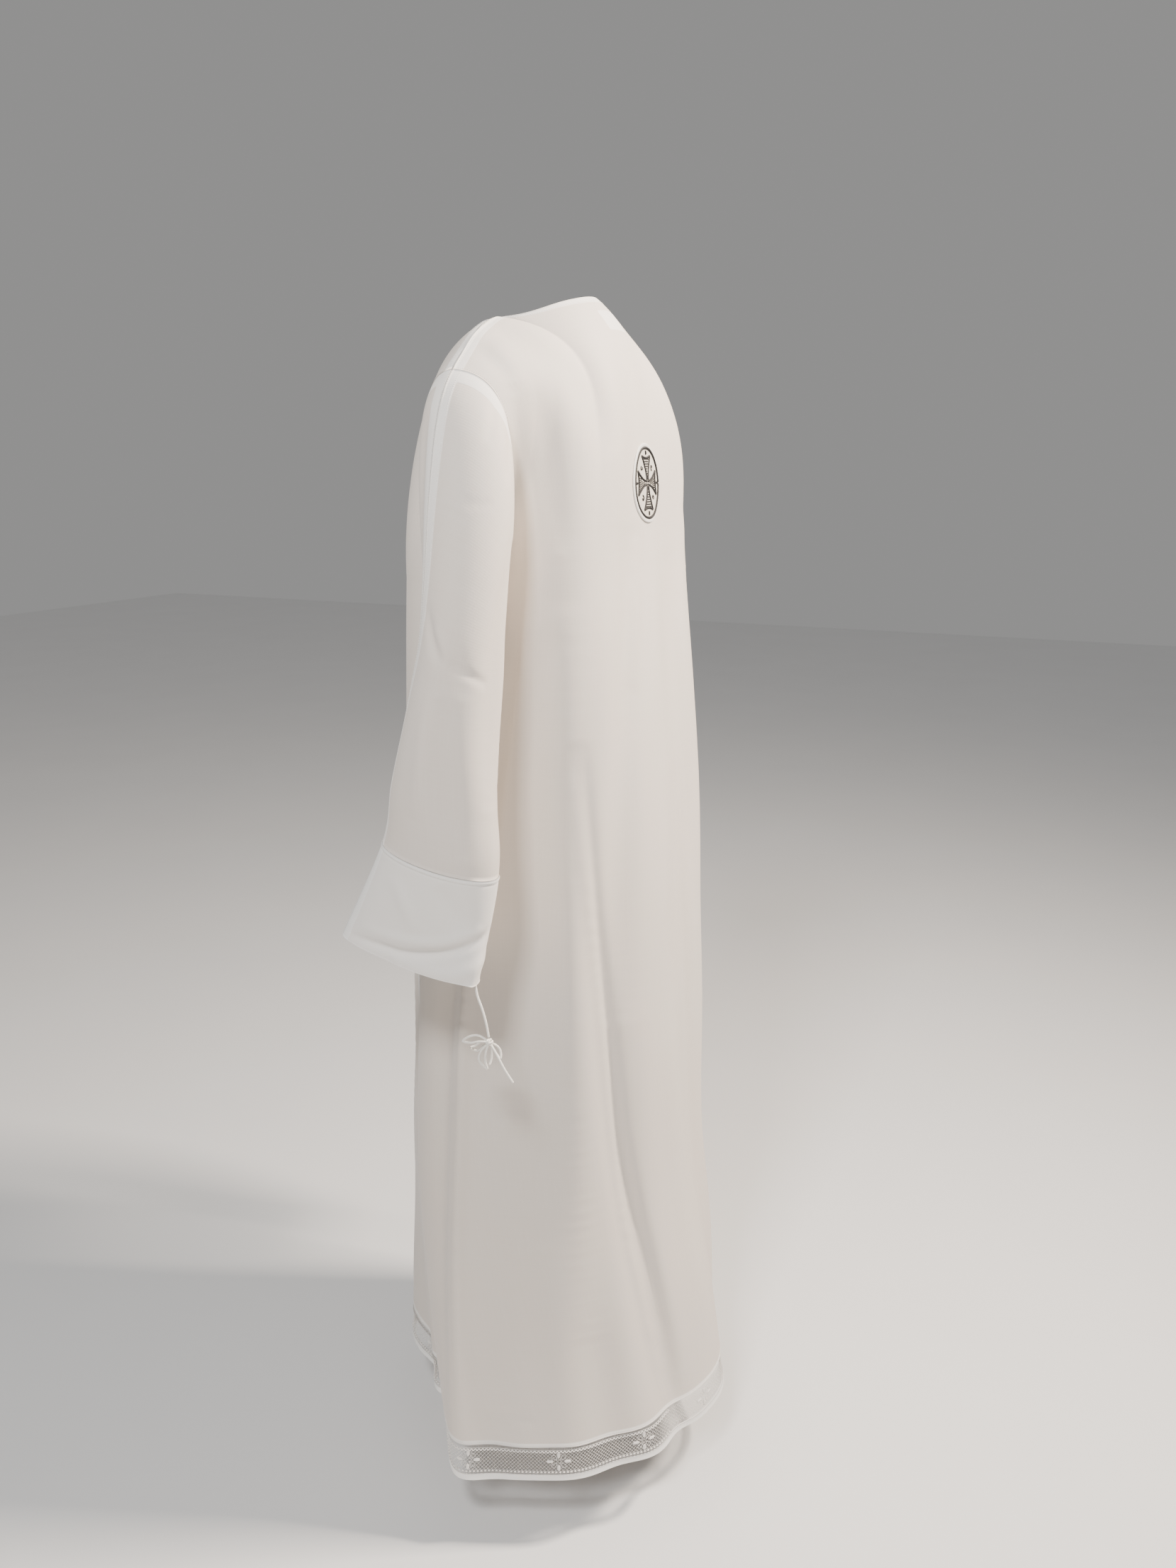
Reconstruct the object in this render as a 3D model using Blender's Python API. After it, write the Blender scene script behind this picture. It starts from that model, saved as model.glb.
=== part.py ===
"""An alb: a long white robe with wide sleeves, deep cuffs and a lace band set in above its hem.

The robe hangs as it is worn, with nobody in it. Metres, +Z up. The wearer faces -Y and their left
side is +X. The origin is in the middle of the neck opening, level with the top of the shoulders.
"""

import math

import bmesh
import bpy
import numpy as np

# Driving sizes.
CLOTH = 0.0016
CUFF_CLOTH = 0.0028
SEAM_GAP = 0.0003
# Two points whose heights differ by less than this count as equally high.
LEAST_STEP = 0.0006
CHEST_Z = -0.300
HEM_Z = -1.430
LACE_HEIGHT = 0.040
HEM_STRIP_HEIGHT = 0.008
LACE_TOP_Z = HEM_Z + HEM_STRIP_HEIGHT + LACE_HEIGHT
LACE_FOOT_Z = HEM_Z + HEM_STRIP_HEIGHT

# Horizontal sections of the body: height, centre, half width, depth in front of the centre,
# depth behind it, and how square the oval is (2 is an ellipse).
BODY_SECTIONS = [
    # z, centre_y, half_width, front, back, squareness
    (-0.300, 0.020, 0.187, 0.119, 0.141, 4.2),
    (-0.450, 0.024, 0.190, 0.137, 0.155, 3.6),
    (-0.650, 0.028, 0.195, 0.156, 0.169, 3.0),
    (-0.865, 0.031, 0.203, 0.181, 0.178, 2.6),
    (-1.070, 0.034, 0.213, 0.210, 0.185, 2.3),
    (-1.250, 0.037, 0.222, 0.223, 0.210, 2.1),
    (-1.430, 0.040, 0.232, 0.232, 0.226, 2.0),
]

# Folds of the back panel, from the left side seam to the right one. An angle is measured round the
# body in degrees, from the left side (0) over the back (90) to the right side (180). Each fold has an
# angle and a depth in millimetres (out is positive) at the chest, at the knee and at the hem.
BACK_FOLDS = [
    # column, angle_chest, angle_knee, angle_hem, out_chest, out_knee, out_hem, width
    (0, 3, -44, -32, 0, -16, -50, 10),
    (5, 14, -8, -7, 0, 14, 30, 8),
    (8, 22, 8, 5, 0, 2, 7, 9),
    (11, 31, 24, 24, 0, 0, 0, 12),
    (14, 42, 34, 43, 0, -4, -10, 10),
    (18, 60, 46, 69, -2, -8, -12, 8),
    (22, 84, 78, 95, 2, 4, 7, 10),
    (25, 103, 102, 118, -3, -8, -13, 9),
    (29, 128, 132, 140, 2, 5, 9, 11),
    (33, 150, 160, 164, -3, -7, -12, 9),
    (36, 165, 188, 188, 0, 16, 28, 9),
    (40, 177, 222, 212, 0, -14, -42, 10),
]
# Folds of the front panel, from the right side seam to the left one.
FRONT_FOLDS = [
    # column, angle_chest, angle_knee, angle_hem, out_chest, out_knee, out_hem, width
    (0, 177, 222, 212, 0, 0, 0, 9),
    (4, 200, 236, 236, 0, -6, -32, 12),
    (8, 228, 250, 256, 0, 4, 12, 9),
    (14, 268, 268, 271, -2, -7, -14, 8),
    (19, 300, 284, 278, 0, 3, 10, 9),
    (24, 336, 300, 306, 0, -6, -41, 13),
    (28, 363, 316, 328, 0, 0, 0, 9),
]
YOKE_ROWS = 12
SKIRT_ROWS = 14

# The top edge: a shoulder seam on each side and the neckline between them.
NECK_POINT = (0.085, 0.004, -0.018)
SHOULDER_TIP = (0.205, 0.014, -0.081)
NAPE = (0.0, 0.081, 0.009)
THROAT = (0.0, -0.088, -0.075)
SHOULDER_DROOP = 1.6
BACK_NECK_COLUMNS = (14, 32)
FRONT_NECK_COLUMNS = (7, 21)
SLIT_ROWS = 6
SLIT_HALF_WIDTH = 0.0035

# Directions in which the cloth leaves the top edge, each as long as its reach: at the shoulder's
# tip, at its neck end and in the middle of the neckline.
BACK_LEAVES = [(0.02, 0.28, -0.02), (0.01, 0.51, -0.07), (0.0, 0.23, -0.19)]
FRONT_LEAVES = [(-0.04, -0.22, -0.02), (-0.03, -0.20, -0.06), (0.0, -0.10, -0.16)]
# Directions in which the ends of a panel arrive at the underarm.
BACK_AT_UNDERARM = (0.0, -0.15, -0.27)
FRONT_AT_UNDERARM = (0.0, 0.13, -0.27)
YOKE_REACH = 0.34
ARMHOLE_COLUMNS = 8

# Sections across the left sleeve below the armhole: the front and rear edge of each, its middle's
# distance from the body's centre plane, half its thickness, and the angles of its two seams. These
# go round from the front edge (0) over the outer side (90) to the rear edge (180).
SLEEVE_SECTIONS = [
    # front_y, front_z, rear_y, rear_z, middle_x, half_thickness, overarm, underarm
    (0.003, -0.370, 0.093, -0.390, 0.268, 0.041, 27, 258),
    (-0.012, -0.437, 0.090, -0.459, 0.274, 0.042, 18, 252),
    (-0.029, -0.504, 0.091, -0.526, 0.278, 0.041, 17, 248),
    (-0.043, -0.571, 0.093, -0.599, 0.280, 0.038, 16, 244),
]
CUFF_END = (-0.103, -0.690, 0.072, -0.719, 0.285, 0.024, 14, 240)
SLEEVE_COLUMNS = 2 * YOKE_ROWS
CAP_ROWS = 9
ROWS_A_SECTION = 2
CUFF_ROWS = 4
CUFF_PROUD = 0.0006
# Directions in which the sleeve leaves the armhole, at its top, back, foot and front, and how far
# the cloth keeps to them, as a share of the way to the first section.
SLEEVE_LEAVES = [(0.8, 0.0, -0.6), (0.7, 0.6, -0.5), (0.7, 0.5, -0.5), (0.5, 0.1, -0.8)]
SLEEVE_REACH = 0.8
# The lower rear corner of the cuff turns outwards past a crease.
CORNER_TURN = 0.012
CORNER_ANGLE = 170

NECK_FACING_WIDTH = 0.009
NECK_FACING_CLOTH = 0.0010

EMBLEM_RADIUS = 0.0445
EMBLEM_THICKNESS = 0.0012
EMBLEM_LIFT = 0.0006
EMBLEM_ROW = 8.4
EMBLEM_COLUMN = 22.1
EMBLEM_RINGS = 4
EMBLEM_SIDES = 28

LABEL_THICKNESS = 0.0010
LABEL_COLUMNS = (21.5, 22.0, 23.0, 24.0, 24.5)
LABEL_ROWS = (0.9, 1.0, 2.0)

# The tie: a thin cord that hangs from the rear corner of each cuff, knotted in a small bow.
TIE_DIAMETER = 0.0026
# Points of the left tie, each from the cuff's rear corner: out, back, up.
TIE_DROP = [
    (-0.0010, -0.0006, -0.0005),
    (-0.0006, 0.0020, -0.0130),
    (0.0006, 0.0080, -0.0265),
    (0.0018, 0.0130, -0.0410),
    (0.0025, 0.0165, -0.0580),
]
KNOT_RADIUS = 0.0046
KNOT_PLACE = (0.0028, 0.0173, -0.0632)
# Loops and ends of the bow, each from the knot's middle.
BOW_STRANDS = [
    [(0, 0, 0), (0.004, -0.010, 0.003), (0.006, -0.020, 0.001), (0.004, -0.030, -0.004)],
    [(0, 0, 0), (-0.002, -0.010, -0.006), (-0.004, -0.019, -0.016), (-0.002, -0.026, -0.014)],
    [(0, 0, 0), (0.006, -0.006, -0.010), (0.006, -0.006, -0.022), (0.003, -0.002, -0.030)],
    [(0, 0, 0), (-0.003, 0.001, -0.010), (-0.002, 0.001, -0.022), (0.001, 0.000, -0.029)],
    [(0, 0, 0), (-0.005, 0.004, -0.008), (-0.007, 0.007, -0.015), (-0.006, 0.010, -0.020)],
    [(0, 0, 0), (0.002, 0.010, -0.012), (0.003, 0.019, -0.026), (0.003, 0.030, -0.041)],
]
STRAND_STEPS = 2

COLOURS = {
    # name: red, green, blue, roughness
    "cloth": (0.86, 0.83, 0.80, 0.75),
    "lace": (0.70, 0.67, 0.64, 0.85),
    "cord": (0.90, 0.88, 0.83, 0.70),
    "emblem": (0.86, 0.84, 0.80, 0.60),
    "label": (0.92, 0.91, 0.88, 0.60),
}


def clear_scene():
    """Removes what the scene holds at the start."""
    for item in list(bpy.data.objects):
        bpy.data.objects.remove(item)


def through_three(first, middle, last, share):
    """The parabola through three values at shares 0, 1/2 and 1."""
    return (
        first * (1 - share) * (1 - 2 * share)
        + middle * 4 * share * (1 - share)
        + last * share * (2 * share - 1)
    )


def hermite(start, leaves, end, arrives, share):
    """The cubic curve from start to end with the given directions there, at each share of the way."""
    s = share[:, None]
    return (
        start * (1 + 2 * s) * (1 - s) ** 2
        + leaves * s * (1 - s) ** 2
        + end * s**2 * (3 - 2 * s)
        + arrives * s**2 * (s - 1)
    )


def smooth_table(rows, key):
    """Each column of a table at key, by cubics through its rows, which are in order down column 0."""
    table = np.array(rows, float)
    place = -table[:, 0]
    slopes = np.gradient(table, place, axis=0)
    i = int(np.clip(np.searchsorted(place, -key, side="right") - 1, 0, len(place) - 2))
    step = place[i + 1] - place[i]
    share = np.array([np.clip((-key - place[i]) / step, 0, 1)])
    return hermite(table[i], slopes[i] * step, table[i + 1], slopes[i + 1] * step, share)[0]


def skirt_share(z):
    """0 at the chest and 1 at the hem."""
    return (CHEST_Z - z) / (CHEST_Z - HEM_Z)


def fold_reach(angles, share):
    """How far the folds push the cloth out at each angle, as a sum of bell curves."""
    reach = np.zeros_like(angles)
    for _, chest, knee, hem, out_chest, out_knee, out_hem, width in BACK_FOLDS + FRONT_FOLDS:
        middle = through_three(chest, knee, hem, share)
        depth = through_three(out_chest, out_knee, out_hem, share) / 1000
        away = (angles - middle + 180) % 360 - 180
        reach += depth * np.exp(-((away / width) ** 2))
    return reach


def body_ring(angles, z):
    """Points of the body's section at height z, at angles in degrees: an oval pushed by the folds."""
    _, centre_y, half_width, front, back, squareness = smooth_table(BODY_SECTIONS, z)
    turn = np.radians(angles)
    across, along = np.cos(turn), np.sin(turn)
    depth = np.where(along < 0, front, back)
    oval = (np.abs(across / half_width) ** squareness + np.abs(along / depth) ** squareness) ** (
        -1 / squareness
    )
    radius = oval + fold_reach(angles, skirt_share(z))
    return np.stack([radius * across, centre_y + radius * along, np.full_like(radius, z)], axis=1)


def column_angles(folds, columns, share):
    """The angle of each column, which runs along the folds and is evenly spread between them."""
    knots = [row[0] for row in folds]
    angles = [through_three(*row[1:4], share) for row in folds]
    return np.interp(columns, knots, angles)


def on_shoulder(share):
    """A point of the left shoulder seam, from the neck (0) to the tip (1), drooping at its end."""
    neck, tip = np.array(NECK_POINT), np.array(SHOULDER_TIP)
    point = neck + (tip - neck) * share
    point[2] = neck[2] + (tip[2] - neck[2]) * share**SHOULDER_DROOP
    return point


def on_neckline(share, low_point):
    """A point of the neckline, from its left end (0) past its middle (1/2), as half an ellipse."""
    turn = math.pi * share
    neck, middle = np.array(NECK_POINT), np.array(low_point)
    rise = math.sin(turn)
    return np.array(
        [
            neck[0] * math.cos(turn),
            neck[1] + (middle[1] - neck[1]) * rise,
            neck[2] + (middle[2] - neck[2]) * rise**2,
        ]
    )


MIRROR = np.array([-1.0, 1.0, 1.0])


def top_edge(column, last, neck_columns, low_point):
    """The top edge of a panel at a column, counted from its left side, and how near the neck it is.

    That share is 0 at the shoulder's tip, 1/2 at its neck end and 1 in the middle of the neckline.
    """
    first_neck, last_neck = neck_columns
    if column <= first_neck:
        return on_shoulder(1 - column / first_neck), column / first_neck * 0.5
    if column >= last_neck:
        share = (last - column) / (last - last_neck)
        return on_shoulder(1 - share) * MIRROR, share * 0.5
    share = (column - first_neck) / (last_neck - first_neck)
    return on_neckline(share, low_point), 0.5 + 0.5 * math.sin(math.pi * share)


def yoke_line(column, is_back, shares):
    """The line of cloth that drops from the top edge at a column to the chest."""
    folds = BACK_FOLDS if is_back else FRONT_FOLDS
    last = folds[-1][0]
    neck_columns = BACK_NECK_COLUMNS if is_back else FRONT_NECK_COLUMNS
    left_first = column if is_back else last - column
    start, near_neck = top_edge(left_first, last, neck_columns, NAPE if is_back else THROAT)
    side = np.ones(3) if left_first * 2 <= sum(neck_columns) else MIRROR
    ways = np.array(BACK_LEAVES if is_back else FRONT_LEAVES) * side
    leaves = through_three(*ways, near_neck)
    angle = column_angles(folds, np.array([float(column)]), 0.0)
    end = body_ring(angle, CHEST_Z)[0]
    below = body_ring(angle, CHEST_Z - 0.02)[0]
    arrives = (below - end) / np.linalg.norm(below - end) * YOKE_REACH
    from_armhole = min(left_first, last - left_first) / ARMHOLE_COLUMNS
    if from_armhole < 1:
        weight = (1 - from_armhole) ** 1.5
        underarm = np.array(BACK_AT_UNDERARM if is_back else FRONT_AT_UNDERARM) * side
        arrives = arrives * (1 - weight) + underarm * weight
    return hermite(start, leaves, end, arrives, shares)


def panel_point(column, row, is_back):
    """A point of a panel: rows 0 to YOKE_ROWS are above the chest, and SKIRT_ROWS lie below it."""
    if row <= YOKE_ROWS:
        return yoke_line(column, is_back, np.array([row / YOKE_ROWS]))[0]
    folds = BACK_FOLDS if is_back else FRONT_FOLDS
    z = CHEST_Z + (LACE_TOP_Z - CHEST_Z) * (row - YOKE_ROWS) / SKIRT_ROWS
    return body_ring(column_angles(folds, np.array([float(column)]), skirt_share(z)), z)[0]


def outward(points_at, column, row, columns, rows):
    """The unit normal of a surface at a point, from points a small step away on each side."""
    step = 0.02
    low_column, high_column = max(column - step, 0), min(column + step, columns)
    low_row, high_row = max(row - step, 0), min(row + step, rows)
    across = points_at(high_column, row) - points_at(low_column, row)
    down = points_at(column, high_row) - points_at(column, low_row)
    normal = np.cross(down, across)
    return normal / np.linalg.norm(normal)


def grid_of(points_at, columns, rows):
    """Points and normals of a surface at each whole column and row, as arrays of rows."""
    points = np.array([[points_at(c, r) for c in range(columns + 1)] for r in range(rows + 1)])
    normals = np.array(
        [
            [outward(points_at, c, r, columns, rows) for c in range(columns + 1)]
            for r in range(rows + 1)
        ]
    )
    return points, normals


def draw_back(points, edges):
    """Moves the named edges of a grid of points inwards by half a seam gap."""
    points = points.copy()
    ends = {"left": (0, 1, 1), "right": (-1, -2, 1), "top": (0, 1, 0), "foot": (-1, -2, 0)}
    for name in edges:
        edge, inner, axis = ends[name]
        at_edge = points[edge] if axis == 0 else points[:, edge]
        at_inner = points[inner] if axis == 0 else points[:, inner]
        along = at_inner - at_edge
        at_edge += along / np.linalg.norm(along, axis=-1, keepdims=True) * SEAM_GAP * 0.55
    return points


def grid_faces(index):
    """The faces between the whole numbers in a grid of point numbers."""
    return np.stack([index[:-1, :-1], index[1:, :-1], index[1:, 1:], index[:-1, 1:]], -1).reshape(-1, 4)


def cloth_wall(name, points, normals, faces, thickness, colour):
    """A closed wall of cloth: an outer surface, the same moved inwards, and a rim round each edge."""
    count = len(points)
    sides = np.concatenate([faces[:, [i, (i + 1) % 4]] for i in range(4)])
    known = {(int(a), int(b)) for a, b in sides}
    rim = []
    for a, b in sorted(known):
        if (b, a) not in known:
            rim += rim_faces(a, b, count, points)
    inner = faces[:, ::-1] + count
    mesh = bpy.data.meshes.new(name)
    places = np.concatenate([points, points - normals * thickness])
    mesh.from_pydata(places.tolist(), [], [*faces.tolist(), *inner.tolist(), *rim])
    return add_part(name, mesh, colour)


def rim_faces(a, b, count, points):
    """Two triangles across the wall's edge from a to b, split from the higher point's outer side.

    Where both are as high, the one with the larger x counts as higher, or else the larger y.

    Two pieces that meet at a seam split their edges the same way, so their gap stays even.
    """
    steps = points[a] - points[b]
    higher = next((step > 0 for step in steps[[2, 0, 1]] if abs(step) > LEAST_STEP), True)
    if higher:
        return [(b, a, b + count), (a, a + count, b + count)]
    return [(b, a, a + count), (b, a + count, b + count)]


def add_part(name, mesh, colour):
    """Links a mesh as an object of the robe, with its faces turned outwards."""
    work = bmesh.new()
    work.from_mesh(mesh)
    bmesh.ops.triangulate(work, faces=work.faces)
    bmesh.ops.recalc_face_normals(work, faces=work.faces)
    work.to_mesh(mesh)
    work.free()
    mesh.shade_smooth()
    mesh.materials.append(material(colour))
    part = bpy.data.objects.new(name, mesh)
    robe.objects.link(part)
    return part


def material(name):
    """The Principled material of a finish, made once."""
    if name in bpy.data.materials:
        return bpy.data.materials[name]
    made = bpy.data.materials.new(name)
    made.use_nodes = True
    red, green, blue, roughness = COLOURS[name]
    shader = made.node_tree.nodes["Principled BSDF"]
    shader.inputs["Base Color"].default_value = (red, green, blue, 1)
    shader.inputs["Roughness"].default_value = roughness
    return made


def seam_angles(row, turns):
    """Angles round a sleeve section at turns: 0 is the overarm seam and 180 the underarm seam."""
    overarm, underarm = row[-2:]
    return np.interp(turns % 360, [0, 180, 360], [overarm, underarm, overarm + 360])


def sleeve_section(row, turns):
    """Points of one sleeve section at turns from the overarm seam, going to the back."""
    front_y, front_z, rear_y, rear_z, middle_x, half_thickness = row[:6]
    front, rear = np.array([0, front_y, front_z]), np.array([0, rear_y, rear_z])
    middle = (front + rear) / 2 + np.array([middle_x, 0, 0])
    angle = np.radians(seam_angles(row, turns))[:, None]
    forward = (front - rear) / 2
    return middle + np.cos(angle) * forward + np.sin(angle) * np.array([half_thickness, 0, 0])


def armhole(turns):
    """Points of the left armhole at turns from the shoulder tip, in degrees, going down the back."""
    back = yoke_line(0, True, np.clip(turns / 180, 0, 1))
    front = yoke_line(FRONT_FOLDS[-1][0], False, np.clip((360 - turns) / 180, 0, 1))
    return np.where((turns <= 180)[:, None], back, front)


def cap_leaves(turns):
    """The direction in which the sleeve leaves the armhole, as a short Fourier sum of its four."""
    top, back, foot, front = (np.array(way) for way in SLEEVE_LEAVES)
    turn = np.radians(turns)[:, None]
    return (
        (top + back + foot + front) / 4
        + np.cos(turn) * (top - foot) / 2
        + np.sin(turn) * (back - front) / 2
        + np.cos(2 * turn) * (top + foot - back - front) / 4
    )


SLEEVE_ROWS = CAP_ROWS + ROWS_A_SECTION * (len(SLEEVE_SECTIONS) - 1)


def sleeve_point(column, row):
    """A point of the left sleeve and cuff: the cap, then the sections, joined by smooth cubics."""
    turns = np.array([360.0 * column / SLEEVE_COLUMNS])
    knots = np.concatenate([sleeve_section(s, turns) for s in [*SLEEVE_SECTIONS, CUFF_END]])
    slopes = np.gradient(knots, axis=0)
    if row <= CAP_ROWS:
        share = np.array([row / CAP_ROWS])
        start, leaves, arrives = armhole(turns)[0], cap_leaves(turns)[0], slopes[0]
        reach = SLEEVE_REACH * np.linalg.norm(knots[0] - start)
        leaves = leaves * reach / np.linalg.norm(leaves)
        arrives = arrives * reach / np.linalg.norm(arrives)
        return hermite(start, leaves, knots[0], arrives, share)[0]
    if row <= SLEEVE_ROWS:
        place = (row - CAP_ROWS) / ROWS_A_SECTION
    else:
        place = len(SLEEVE_SECTIONS) - 1 + (row - SLEEVE_ROWS) / CUFF_ROWS
    i = min(int(place), len(knots) - 2)
    point = hermite(knots[i], slopes[i], knots[i + 1], slopes[i + 1], np.array([place - i]))[0]
    down_cuff = max(0.0, (row - SLEEVE_ROWS) / CUFF_ROWS)
    near_corner = max(0.0, 1 - abs(seam_angles(CUFF_END, turns)[0] - CORNER_ANGLE) / 70)
    point[0] += CORNER_TURN * down_cuff**3 * near_corner**2
    return point


def sleeve_grid(first_column, last_column, first_row, last_row):
    """Points and normals of a stretch of the left sleeve. At the armhole the wall leans both ways."""
    last = SLEEVE_ROWS + CUFF_ROWS
    points, normals = [], []
    for row in range(first_row, last_row + 1):
        line = range(first_column, last_column + 1)
        points.append([sleeve_point(c, row) for c in line])
        normals.append([sleeve_normal(c, row, last) for c in line])
    return np.array(points), np.array(normals)


def sleeve_normal(column, row, last):
    """The sleeve's outward normal, and at the armhole the one that body and sleeve share there."""
    if row == 0:
        return armhole_normal(column)
    step = 0.02
    across = sleeve_point(column + step, row) - sleeve_point(column - step, row)
    down = sleeve_point(column, min(row + step, last)) - sleeve_point(column, row - step)
    normal = np.cross(down, across)
    return normal / np.linalg.norm(normal)


def armhole_normal(column):
    """The mean of the sleeve's and the panel's normals at a point of the armhole."""
    step = 0.02
    across = sleeve_point(column + step, 0) - sleeve_point(column - step, 0)
    sleeve = np.cross(sleeve_point(column, step) - sleeve_point(column, 0), across)
    sleeve /= np.linalg.norm(sleeve)
    column %= SLEEVE_COLUMNS
    half = SLEEVE_COLUMNS / 2
    if column <= half:
        row = column / half * YOKE_ROWS
        panel = outward(back_point, 0, row, BACK_FOLDS[-1][0], PANEL_ROWS)
    else:
        row = (SLEEVE_COLUMNS - column) / half * YOKE_ROWS
        panel = outward(front_point, FRONT_FOLDS[-1][0], row, FRONT_FOLDS[-1][0], PANEL_ROWS)
    return (sleeve + panel) / np.linalg.norm(sleeve + panel)


PANEL_ROWS = YOKE_ROWS + SKIRT_ROWS


def back_point(column, row):
    """A point of the back panel."""
    return panel_point(column, row, True)


def front_point(column, row):
    """A point of the front panel."""
    return panel_point(column, row, False)


def share_armhole_normals(normals, is_back):
    """Gives a panel's armhole edges the normals that its sleeves have there."""
    for row in range(YOKE_ROWS + 1):
        column = row / YOKE_ROWS * SLEEVE_COLUMNS / 2
        left = armhole_normal(column if is_back else SLEEVE_COLUMNS - column)
        near, far = (0, -1) if is_back else (-1, 0)
        normals[row, near], normals[row, far] = left, left * MIRROR


# The back panel is one cloth, from the nape to the lace. It is drawn as these stretches, so that the
# collision pieces of each one can follow its curve.
BACK_STRETCHES = [
    # name, first_column, last_column, first_row, last_row
    ("back_yoke", 0, 40, 0, 12),
    ("back_skirt_left", 0, 14, 12, 26),
    ("back_skirt_middle", 14, 28, 12, 26),
    ("back_skirt_right", 28, 40, 12, 26),
]


def make_back():
    """The back panel, in four stretches that meet edge to edge."""
    columns = BACK_FOLDS[-1][0]
    points, normals = grid_of(back_point, columns, PANEL_ROWS)
    share_armhole_normals(normals, True)
    share_shoulder_normals(normals, BACK_NECK_COLUMNS)
    for name, left, right, top, foot in BACK_STRETCHES:
        own = (slice(top, foot + 1), slice(left, right + 1))
        places = draw_back(points[own], ["left", "right", "top", "foot"])
        index = np.arange(places.size // 3).reshape(places.shape[:2])
        cloth_wall(name, places.reshape(-1, 3), normals[own].reshape(-1, 3), grid_faces(index), CLOTH, "cloth")


def share_shoulder_normals(normals, neck_columns):
    """Turns the normals along the shoulder seams upwards, so that both panels share them."""
    for edge in (normals[0, : neck_columns[0] + 1], normals[0, neck_columns[1] :]):
        edge[:, 1] = 0
        edge /= np.linalg.norm(edge, axis=1, keepdims=True)


def make_front():
    """The front panel, slit down its middle from the neckline to let the head through."""
    columns = FRONT_FOLDS[-1][0]
    middle = columns // 2
    points, normals = grid_of(front_point, columns, PANEL_ROWS)
    share_armhole_normals(normals, False)
    share_shoulder_normals(normals, FRONT_NECK_COLUMNS)
    points = draw_back(points, ["left", "right", "top", "foot"])
    rows = len(points)
    index = np.arange(points.size // 3).reshape(points.shape[:2])
    open_rows = np.arange(SLIT_ROWS)
    apart = SLIT_HALF_WIDTH * (1 - open_rows / SLIT_ROWS)
    other = points[:SLIT_ROWS, middle].copy()
    points[:SLIT_ROWS, middle, 0] -= apart
    other[:, 0] += apart
    right = index[:, : middle + 1]
    left = index[:, middle:].copy()
    left[:SLIT_ROWS, 0] = rows * (columns + 1) + open_rows
    faces = np.concatenate([grid_faces(right), grid_faces(left)])
    all_points = np.concatenate([points.reshape(-1, 3), other])
    all_normals = np.concatenate([normals.reshape(-1, 3), normals[:SLIT_ROWS, middle]])
    cloth_wall("front", all_points, all_normals, faces, CLOTH, "cloth")


def make_band(name, folds, top_z, foot_z, rows, colour):
    """A strip round half the hem, between two heights, with the panels' folds."""
    columns = folds[-1][0]

    def strip_point(column, row):
        z = top_z + (foot_z - top_z) * row / rows
        return body_ring(column_angles(folds, np.array([float(column)]), skirt_share(z)), z)[0]

    points, normals = grid_of(strip_point, columns, rows)
    points = draw_back(points, ["left", "right", "top", "foot"])
    index = np.arange(points.size // 3).reshape(points.shape[:2])
    cloth_wall(name, points.reshape(-1, 3), normals.reshape(-1, 3), grid_faces(index), CLOTH, colour)


def make_sleeves():
    """Each sleeve in two halves, which meet along the overarm and the underarm seam."""
    half = SLEEVE_COLUMNS // 2
    for part, first, last in [("back", 0, half), ("front", half, SLEEVE_COLUMNS)]:
        points, normals = sleeve_grid(first, last, 0, SLEEVE_ROWS)
        points = draw_back(points, ["left", "right", "top", "foot"])
        index = np.arange(points.size // 3).reshape(points.shape[:2])
        for side, flip in [("left", np.ones(3)), ("right", MIRROR)]:
            places = (points * flip).reshape(-1, 3)
            ways = (normals * flip).reshape(-1, 3)
            cloth_wall(f"sleeve_{side}_{part}", places, ways, grid_faces(index), CLOTH, "cloth")


def make_cuffs():
    """Each cuff is a ring of doubled cloth on the end of the sleeve, a little proud of it."""
    last = SLEEVE_ROWS + CUFF_ROWS
    points, normals = sleeve_grid(0, SLEEVE_COLUMNS - 1, SLEEVE_ROWS, last)
    points = draw_back(points + normals * CUFF_PROUD, ["top"])
    index = np.arange(points.size // 3).reshape(points.shape[:2])
    index = np.concatenate([index, index[:, :1]], axis=1)
    for side, flip in [("left", np.ones(3)), ("right", MIRROR)]:
        places = (points * flip).reshape(-1, 3)
        ways = (normals * flip).reshape(-1, 3)
        cloth_wall(f"cuff_{side}", places, ways, grid_faces(index), CUFF_CLOTH, "cloth")


def make_neck_facing():
    """The narrow turned facing inside each half of the neckline."""
    for name, is_back, columns in [
        ("neck_facing_back", True, BACK_NECK_COLUMNS),
        ("neck_facing_front", False, FRONT_NECK_COLUMNS),
    ]:
        points_at = back_point if is_back else front_point
        all_columns = BACK_FOLDS[-1][0] if is_back else FRONT_FOLDS[-1][0]
        middle = all_columns // 2
        stretches = [(name, *columns)]
        if not is_back:
            stretches = [(name + "_right", columns[0], middle), (name + "_left", middle, columns[1])]
        for part, first, last in stretches:
            facing_strip(part, points_at, first, last, all_columns)


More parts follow.
